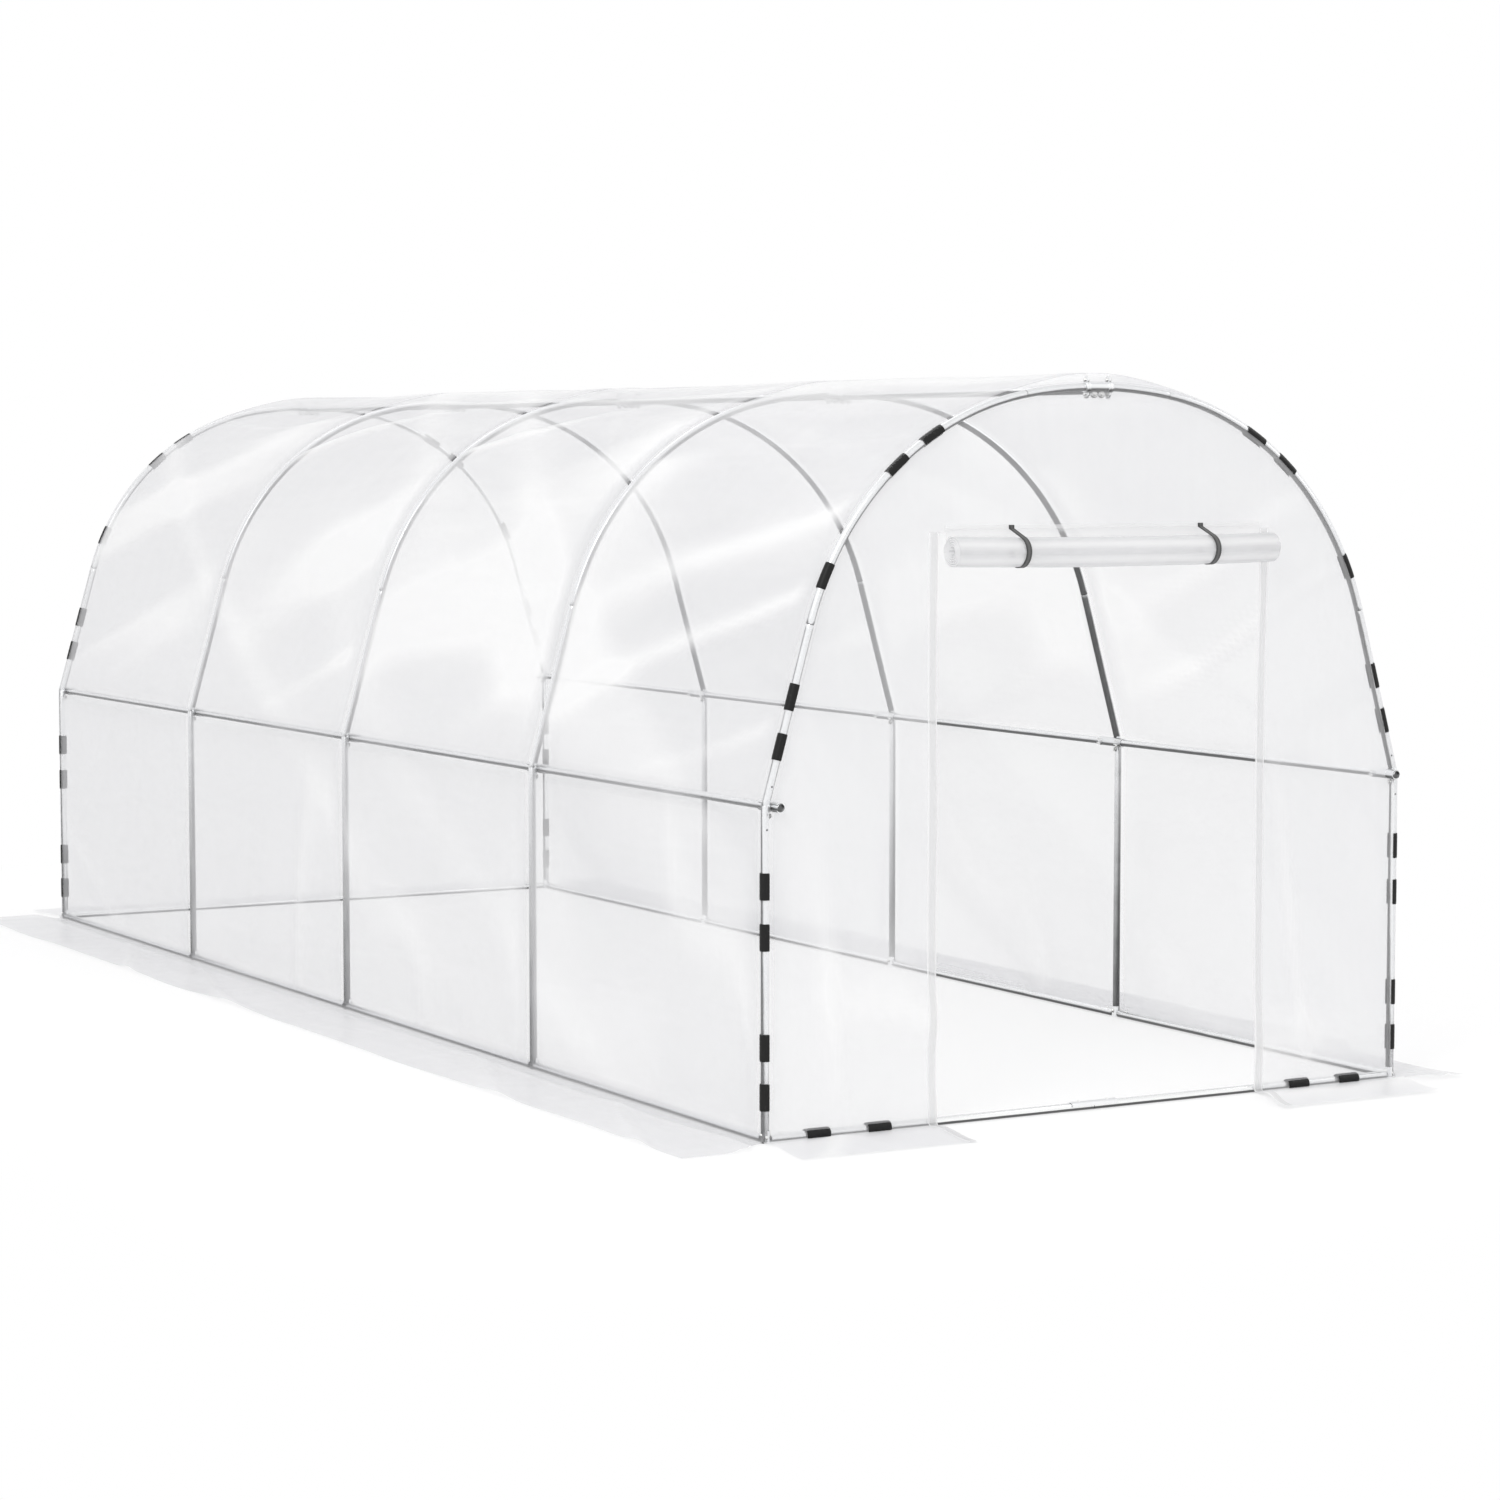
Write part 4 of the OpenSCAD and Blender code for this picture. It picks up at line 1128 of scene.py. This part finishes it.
def door_roll():
    """Rolled-up film door: a long round bundle, pinched a little under its straps, with broad soft
    lengthwise ripples where the layers lie loose, a lap edge, and at each end a coil of layers round a
    hollow. Its radius is the roll's less the ripples, and the coil is a cosine of r / pitch - turn. Whiter
    bands at set angles round it and the whitened crests of the end coils are painted highlights."""
    x0, x1 = ROLL_LOW[0] + 0.002, ROLL_HIGH[0] - 0.002
    turn = np.linspace(0, 2 * math.pi, 84, endpoint=False)[None, :]
    r_hole = 0.012
    rings_in = np.array([0.0, r_hole * 0.7, r_hole, r_hole, r_hole + 0.0006])
    depth_in = np.array([0.060, 0.060, 0.056, 0.006, 0.0010])
    r_face = np.linspace(r_hole + 0.0012, ROLL_R - 0.0020, 44)
    rings = np.concatenate([rings_in, r_face, [ROLL_R - 0.0005]])
    depth = np.concatenate([depth_in, np.zeros(len(r_face)), [0.0014]])
    x_body = np.linspace(x0 + 0.004, x1 - 0.004, 170)
    r = np.concatenate([rings, np.full(len(x_body), ROLL_R), rings[::-1]])[:, None]
    x = np.concatenate([x0 + depth, x_body, (x1 - depth)[::-1]])[:, None]
    on_face = np.isin(np.arange(len(rings)), np.arange(5, 5 + len(r_face)))
    face = np.concatenate([on_face, np.zeros(len(x_body), bool), on_face[::-1]])[:, None]
    way = np.where(x < ROLL_MID, -1.0, 1.0)
    coil = 0.5 + 0.5 * np.cos(2 * math.pi * r / 0.0068 - turn + 0.5 * np.sin(turn * 2 + r * 90))
    x_moved = x + way * face * (coil ** 0.6 * 0.0042 - 0.0042)
    body = smoothstep(r_hole, ROLL_R, r)
    groove = ridges(np.sin(turn) * 1.7 + 0.12 * noise2(x * 3, 0 * x, 6) + 3, x * 0.7, 5, 0.20)
    ripple = noise2(np.cos(turn) * 1.6 + 9, x * 4.0 + np.sin(turn) * 1.5, 7) * 0.0012 - groove * 0.0024
    lap = 0.0024 * np.mod(turn / (2 * math.pi) + 0.30, 1.0)
    pinch = sum(np.exp(-((x - at) / 0.022) ** 2) for at in STRAP_PLACES)
    rr = r + (ripple + lap - 0.0016 - pinch * 0.0022) * body
    points = np.stack([x_moved + 0 * turn, ROLL_Y + rr * np.cos(turn),
                       ROLL_Z + roll_sag(x) + rr * np.sin(turn)], -1)
    uv = np.stack([x + 0 * turn, r * turn], -1)
    # Painted highlights: whiter bands at set angles round the roll, wandering a little along it; the end
    # coils' crests are whitened too.
    wander = 0.12 * noise2(x * 2.2, 0 * x, 14) + 0.05 * noise2(x * 7.0, 0 * x, 15)
    bands = sum(np.exp(-((np.mod(turn - math.radians(at) + wander + math.pi, 2 * math.pi) - math.pi)
                         / math.radians(wide)) ** 2)
                for at, wide in ((35, 14), (92, 9), (150, 17), (212, 12), (292, 15), (335, 12)))
    haze = np.where(face, 1.05 + 0.8 * coil, 0.90 + 0.9 * bands + 0.2 * groove)
    shape = Shape().grid(points, wrap_cols=True, uv=uv, haze=haze)
    put(shape.piece("door_film_roll", ROLL_FILM), ["door_roll"])


def door_flap():
    """Film from which the roll hangs, sewn to the wall above the doorway: a flat sheet with a thicker
    sewn strip along its top."""
    x0, x1 = ROLL_LOW[0] + 0.010, ROLL_HIGH[0] - 0.010
    top = STRAP_HIGH[2] - 0.002
    u = np.linspace(0, 1, 90)[None, :]
    v = np.concatenate([np.linspace(0, 0.3, 12), np.linspace(0.3, 1, 12)[1:]])[:, None]
    x = x0 * (1 - u) + x1 * u
    z = top * (1 - v) + (ROLL_Z + 0.010) * v
    strip = smoothstep(0.20, 0.16, v)
    ahead = LIFT + 0.0036 + 0.0010 * noise2(x * 5, z * 7, 8) + 0.0010 * strip + 0 * z
    flap = np.stack([x + 0 * v, FRONT - ahead, z + 0 * u], -1)
    uv = np.stack([x + 0 * v + 5, z + 0 * u], -1)
    obj = Shape().grid(flap, uv=uv, haze=1.0 + 0.5 * strip + 0 * u, flip=True).piece("door_flap", FLAP_FILM)
    put(obj)


def door_straps():
    """Two flat straps: a short tab sewn to the wall above the roll, from which the strap runs out level
    to the roll's front, over it, under it, and back up behind it."""
    shape = Shape()
    h = 0.0008
    section = [(-h, -STRAP_W / 2), (-h, STRAP_W / 2), (h, STRAP_W / 2), (h, -STRAP_W / 2)]
    for x in STRAP_PLACES:
        centre = np.array([ROLL_Y, ROLL_Z + roll_sag(x)])
        back = FRONT - LIFT - 0.006
        top = np.array([back, STRAP_HIGH[2] - 0.002])
        tab_end = np.array([back - 0.0005, STRAP_HIGH[2] - 0.012])
        r = ROLL_R - 0.0006
        away = tab_end - centre
        start = math.atan2(away[1], away[0]) + math.acos(min(1.0, r / math.hypot(*away)))
        turn = np.linspace(start, start + math.radians(262), 66)
        stands = 1 + 0.10 * np.exp(-((turn - math.radians(175)) / 0.8) ** 2)
        ring = centre + (r * stands)[:, None] * np.stack([np.cos(turn), np.sin(turn)], -1)
        line = np.concatenate([straight(top, tab_end, 5), straight(tab_end, ring[0], 14)[1:], ring[1:]])
        path = np.stack([np.full(len(line), x), line[:, 0], line[:, 1]], -1)
        points = carried(path, ACROSS_X, section)
        s = along(path)
        uv = np.stack(np.broadcast_arrays(np.array([0, 1, 1, 0.0])[None, :] * STRAP_W, s[:, None]), -1)
        shape.grid(points, wrap_cols=True, uv=uv, flip=True).capped(points)
    put(shape.piece("door_roll_straps", WEBBING, keep_sharp=35), ["door_straps"])


# ---- Clips ----

def clip_profile(radius, mouth, half_mouth):
    """Section of a C clip as points (toward the side, along the front): outer arc from one lip to the
    other, rounded lips turned out, and the inner arc back."""
    a0 = math.radians(mouth + half_mouth)
    a1 = math.radians(mouth + 360 - half_mouth)
    turn = np.linspace(a0, a1, 30)
    lip = np.exp(-((turn - a0) / 0.16) ** 2) + np.exp(-((turn - a1) / 0.16) ** 2)
    wall = 0.0015
    outer = radius + wall + 0.0012 * lip
    inner = radius + 0.0012 * lip
    return np.concatenate([arc(outer, turn), arc(inner[::-1], turn[::-1])])


def add_clip(shape, path, side_dir, front_dir, profile):
    """One clip: its section carried along a short path, with faint ribs across it and rounded ends."""
    path = np.asarray(path, float)
    s = along(path)
    inset = 1 - 0.05 * near_ends(s, 0.0022)
    ribs = 1 + 0.010 * np.cos(s / s[-1] * 2 * math.pi * 6)
    m = len(profile) // 2
    scale = np.concatenate([np.ones(m), np.zeros(m)])
    swell = 1 + (inset * ribs - 1)[:, None] * scale[None, :]
    return swept_shell(shape, path, side_dir, front_dir, profile, swell)


def hoop_clips(y, facing):
    """Clips up both sides of an end hoop. The mouth looks inwards and a little to the wall's face."""
    right = Shape()
    profile = clip_profile(TUBE_R + 0.0019, 205, 40)
    front = np.array([0.0, -facing, 0.0])
    for z in POST_CLIPS:
        path = straight([HALF_W, y, z - CLIP_LEN / 2], [HALF_W, y, z + CLIP_LEN / 2], 22)
        add_clip(right, path, (1, 0, 0), front, profile)
    for s in LEAN_CLIPS:
        mid = np.array([HALF_W, y, SHOULDER]) + UP_LEAN * s
        path = straight(mid - UP_LEAN * CLIP_LEN / 2, mid + UP_LEAN * CLIP_LEN / 2, 22)
        add_clip(right, path, OFF_LEAN, front, profile)
    half = CLIP_LEN / HAUNCH_R / 2
    for a in HAUNCH_CLIPS:
        turn = math.radians(a) + np.linspace(-half, half, 22)
        out = np.stack([np.cos(turn), 0 * turn, np.sin(turn)], -1)
        path = np.array([HAUNCH_X, y, HAUNCH_Z]) + HAUNCH_R * out
        add_clip(right, path, out, front, profile)
    if facing > 0:
        right.quads = [q[:, ::-1] for q in right.quads]
    return right.join(right.mirrored())


def clips():
    """All film clips."""
    put(hoop_clips(FRONT, -1).piece("front_hoop_clips", PLASTIC, keep_sharp=35), ["clips_front"])
    put(hoop_clips(REAR, 1).piece("rear_hoop_clips", PLASTIC, keep_sharp=35), ["clips_rear"])
    base = Shape()
    profile = clip_profile(TUBE_R + 0.0044, -75, 69)
    for x in BASE_CLIPS:
        y = FRONT - 0.003
        path = straight([x - CLIP_LEN / 2, y, BASE_Z], [x + CLIP_LEN / 2, y, BASE_Z], 22)
        add_clip(base, path, (0, 1, 0), (0, 0, 1), profile)
    put(base.piece("base_rail_clips", PLASTIC, keep_sharp=35), ["clips_base"])


for i in range(5):
    hoop(i)
rails()
ridge_fittings()
shoulder_fittings()
foot_fittings()
cover()
end_walls()
door_hems()
door_roll()
door_flap()
door_straps()
clips()


# ---- Floor, light and camera ----

def floor():
    """Pale floor: matt white under the tunnel, where it takes its soft shadow, passing over a metre and
    a half into the same plain white as the world."""
    m = Material("pale_floor")
    place = m.place()
    inside = m.absolute(place)
    beyond = m.node("ShaderNodeVectorMath", {"operation": "SUBTRACT"}, {0: inside, 1: (1.45, 3.1, 0)})
    beyond = m.node("ShaderNodeVectorMath", {"operation": "MAXIMUM"}, {0: beyond, 1: (0, 0, 0)})
    away = m.node("ShaderNodeVectorMath", {"operation": "LENGTH"}, {0: beyond}, out="Value")
    far = away.ramp(0.1, 1.5)
    tone = m.noise(place, 0.8, 2.0)
    colour = m.blend(tone, (0.94, 0.94, 0.94), (0.96, 0.96, 0.96))
    matt = m.surface(Base_Color=colour, Roughness=0.9, Specular_IOR_Level=0.1)
    camera_ray = m.node("ShaderNodeLightPath", out="Is Camera Ray")
    glossy_ray = m.node("ShaderNodeLightPath", out="Is Glossy Ray")
    sent_ray = m.node("ShaderNodeLightPath", out="Is Transmission Ray")
    seen = (camera_ray + glossy_ray + sent_ray).clamp()
    white = m.node("ShaderNodeEmission", {}, {"Color": (1, 1, 1, 1), "Strength": 1.0})
    material = m.finish(m.mix((0.45 + 0.55 * far) * seen, matt, white))
    radii = np.linspace(0, 40.0, 12)[:, None]
    turn = np.linspace(0, 2 * math.pi, 48, endpoint=False)[None, :]
    disc = np.stack([radii * np.cos(turn), radii * np.sin(turn), 0 * radii * turn], -1)
    Shape().grid(disc, wrap_cols=True, flip=True).piece("floor", material)


def lights():
    """Plain soft studio light: an even white world, a broad key from the upper left, a fill from the
    right and a lamp above."""
    world = bpy.data.worlds.new("studio")
    world.use_nodes = True
    tree = world.node_tree
    tree.nodes.clear()
    path = tree.nodes.new("ShaderNodeLightPath")
    add1, add2 = tree.nodes.new("ShaderNodeMath"), tree.nodes.new("ShaderNodeMath")
    add2.use_clamp = True
    tree.links.new(path.outputs["Is Camera Ray"], add1.inputs[0])
    tree.links.new(path.outputs["Is Glossy Ray"], add1.inputs[1])
    tree.links.new(add1.outputs[0], add2.inputs[0])
    tree.links.new(path.outputs["Is Transmission Ray"], add2.inputs[1])
    seen, plain = tree.nodes.new("ShaderNodeBackground"), tree.nodes.new("ShaderNodeBackground")
    seen.inputs["Color"].default_value = (1, 1, 1, 1)
    seen.inputs["Strength"].default_value = 1.0
    plain.inputs["Color"].default_value = (1, 1, 1, 1)
    plain.inputs["Strength"].default_value = 0.92
    mix, out = tree.nodes.new("ShaderNodeMixShader"), tree.nodes.new("ShaderNodeOutputWorld")
    tree.links.new(add2.outputs[0], mix.inputs[0])
    tree.links.new(plain.outputs[0], mix.inputs[1])
    tree.links.new(seen.outputs[0], mix.inputs[2])
    tree.links.new(mix.outputs[0], out.inputs["Surface"])
    bpy.context.scene.world = world

    def area(name, place, target, size, power):
        data = bpy.data.lights.new(name, "AREA")
        data.shape, data.size, data.size_y = "RECTANGLE", size[0], size[1]
        data.energy = power
        obj = bpy.data.objects.new(name, data)
        obj.location = place
        aim = np.array(target) - np.array(place)
        obj.rotation_mode = "QUATERNION"
        obj.rotation_quaternion = Vector(aim).to_track_quat("-Z", "Y")
        bpy.context.scene.collection.objects.link(obj)

    area("key", (-5.5, -6.0, 6.0), (0, -0.5, 0.6), (3.0, 3.0), 170)
    area("fill", (6.0, -4.0, 4.5), (0, -0.5, 0.8), (3.0, 3.0), 40)
    area("top", (0.0, 3.0, 7.0), (0, 0.5, 0.5), (4.0, 6.0), 70)


def camera():
    """Camera at eye height, to the left of the doorway end and some ten metres off."""
    data = bpy.data.cameras.new("camera")
    data.sensor_width, data.lens = 36.0, 89.92
    data.clip_start, data.clip_end = 0.1, 200.0
    obj = bpy.data.objects.new("camera", data)
    obj.location = (-5.9204, FRONT - 8.4884, 1.8206)
    obj.rotation_euler = (math.radians(90 - 4.5489), 0, -math.radians(29.6167))
    bpy.context.scene.collection.objects.link(obj)
    bpy.context.scene.camera = obj


floor()
lights()
camera()
bpy.context.scene.view_settings.view_transform = "Standard"
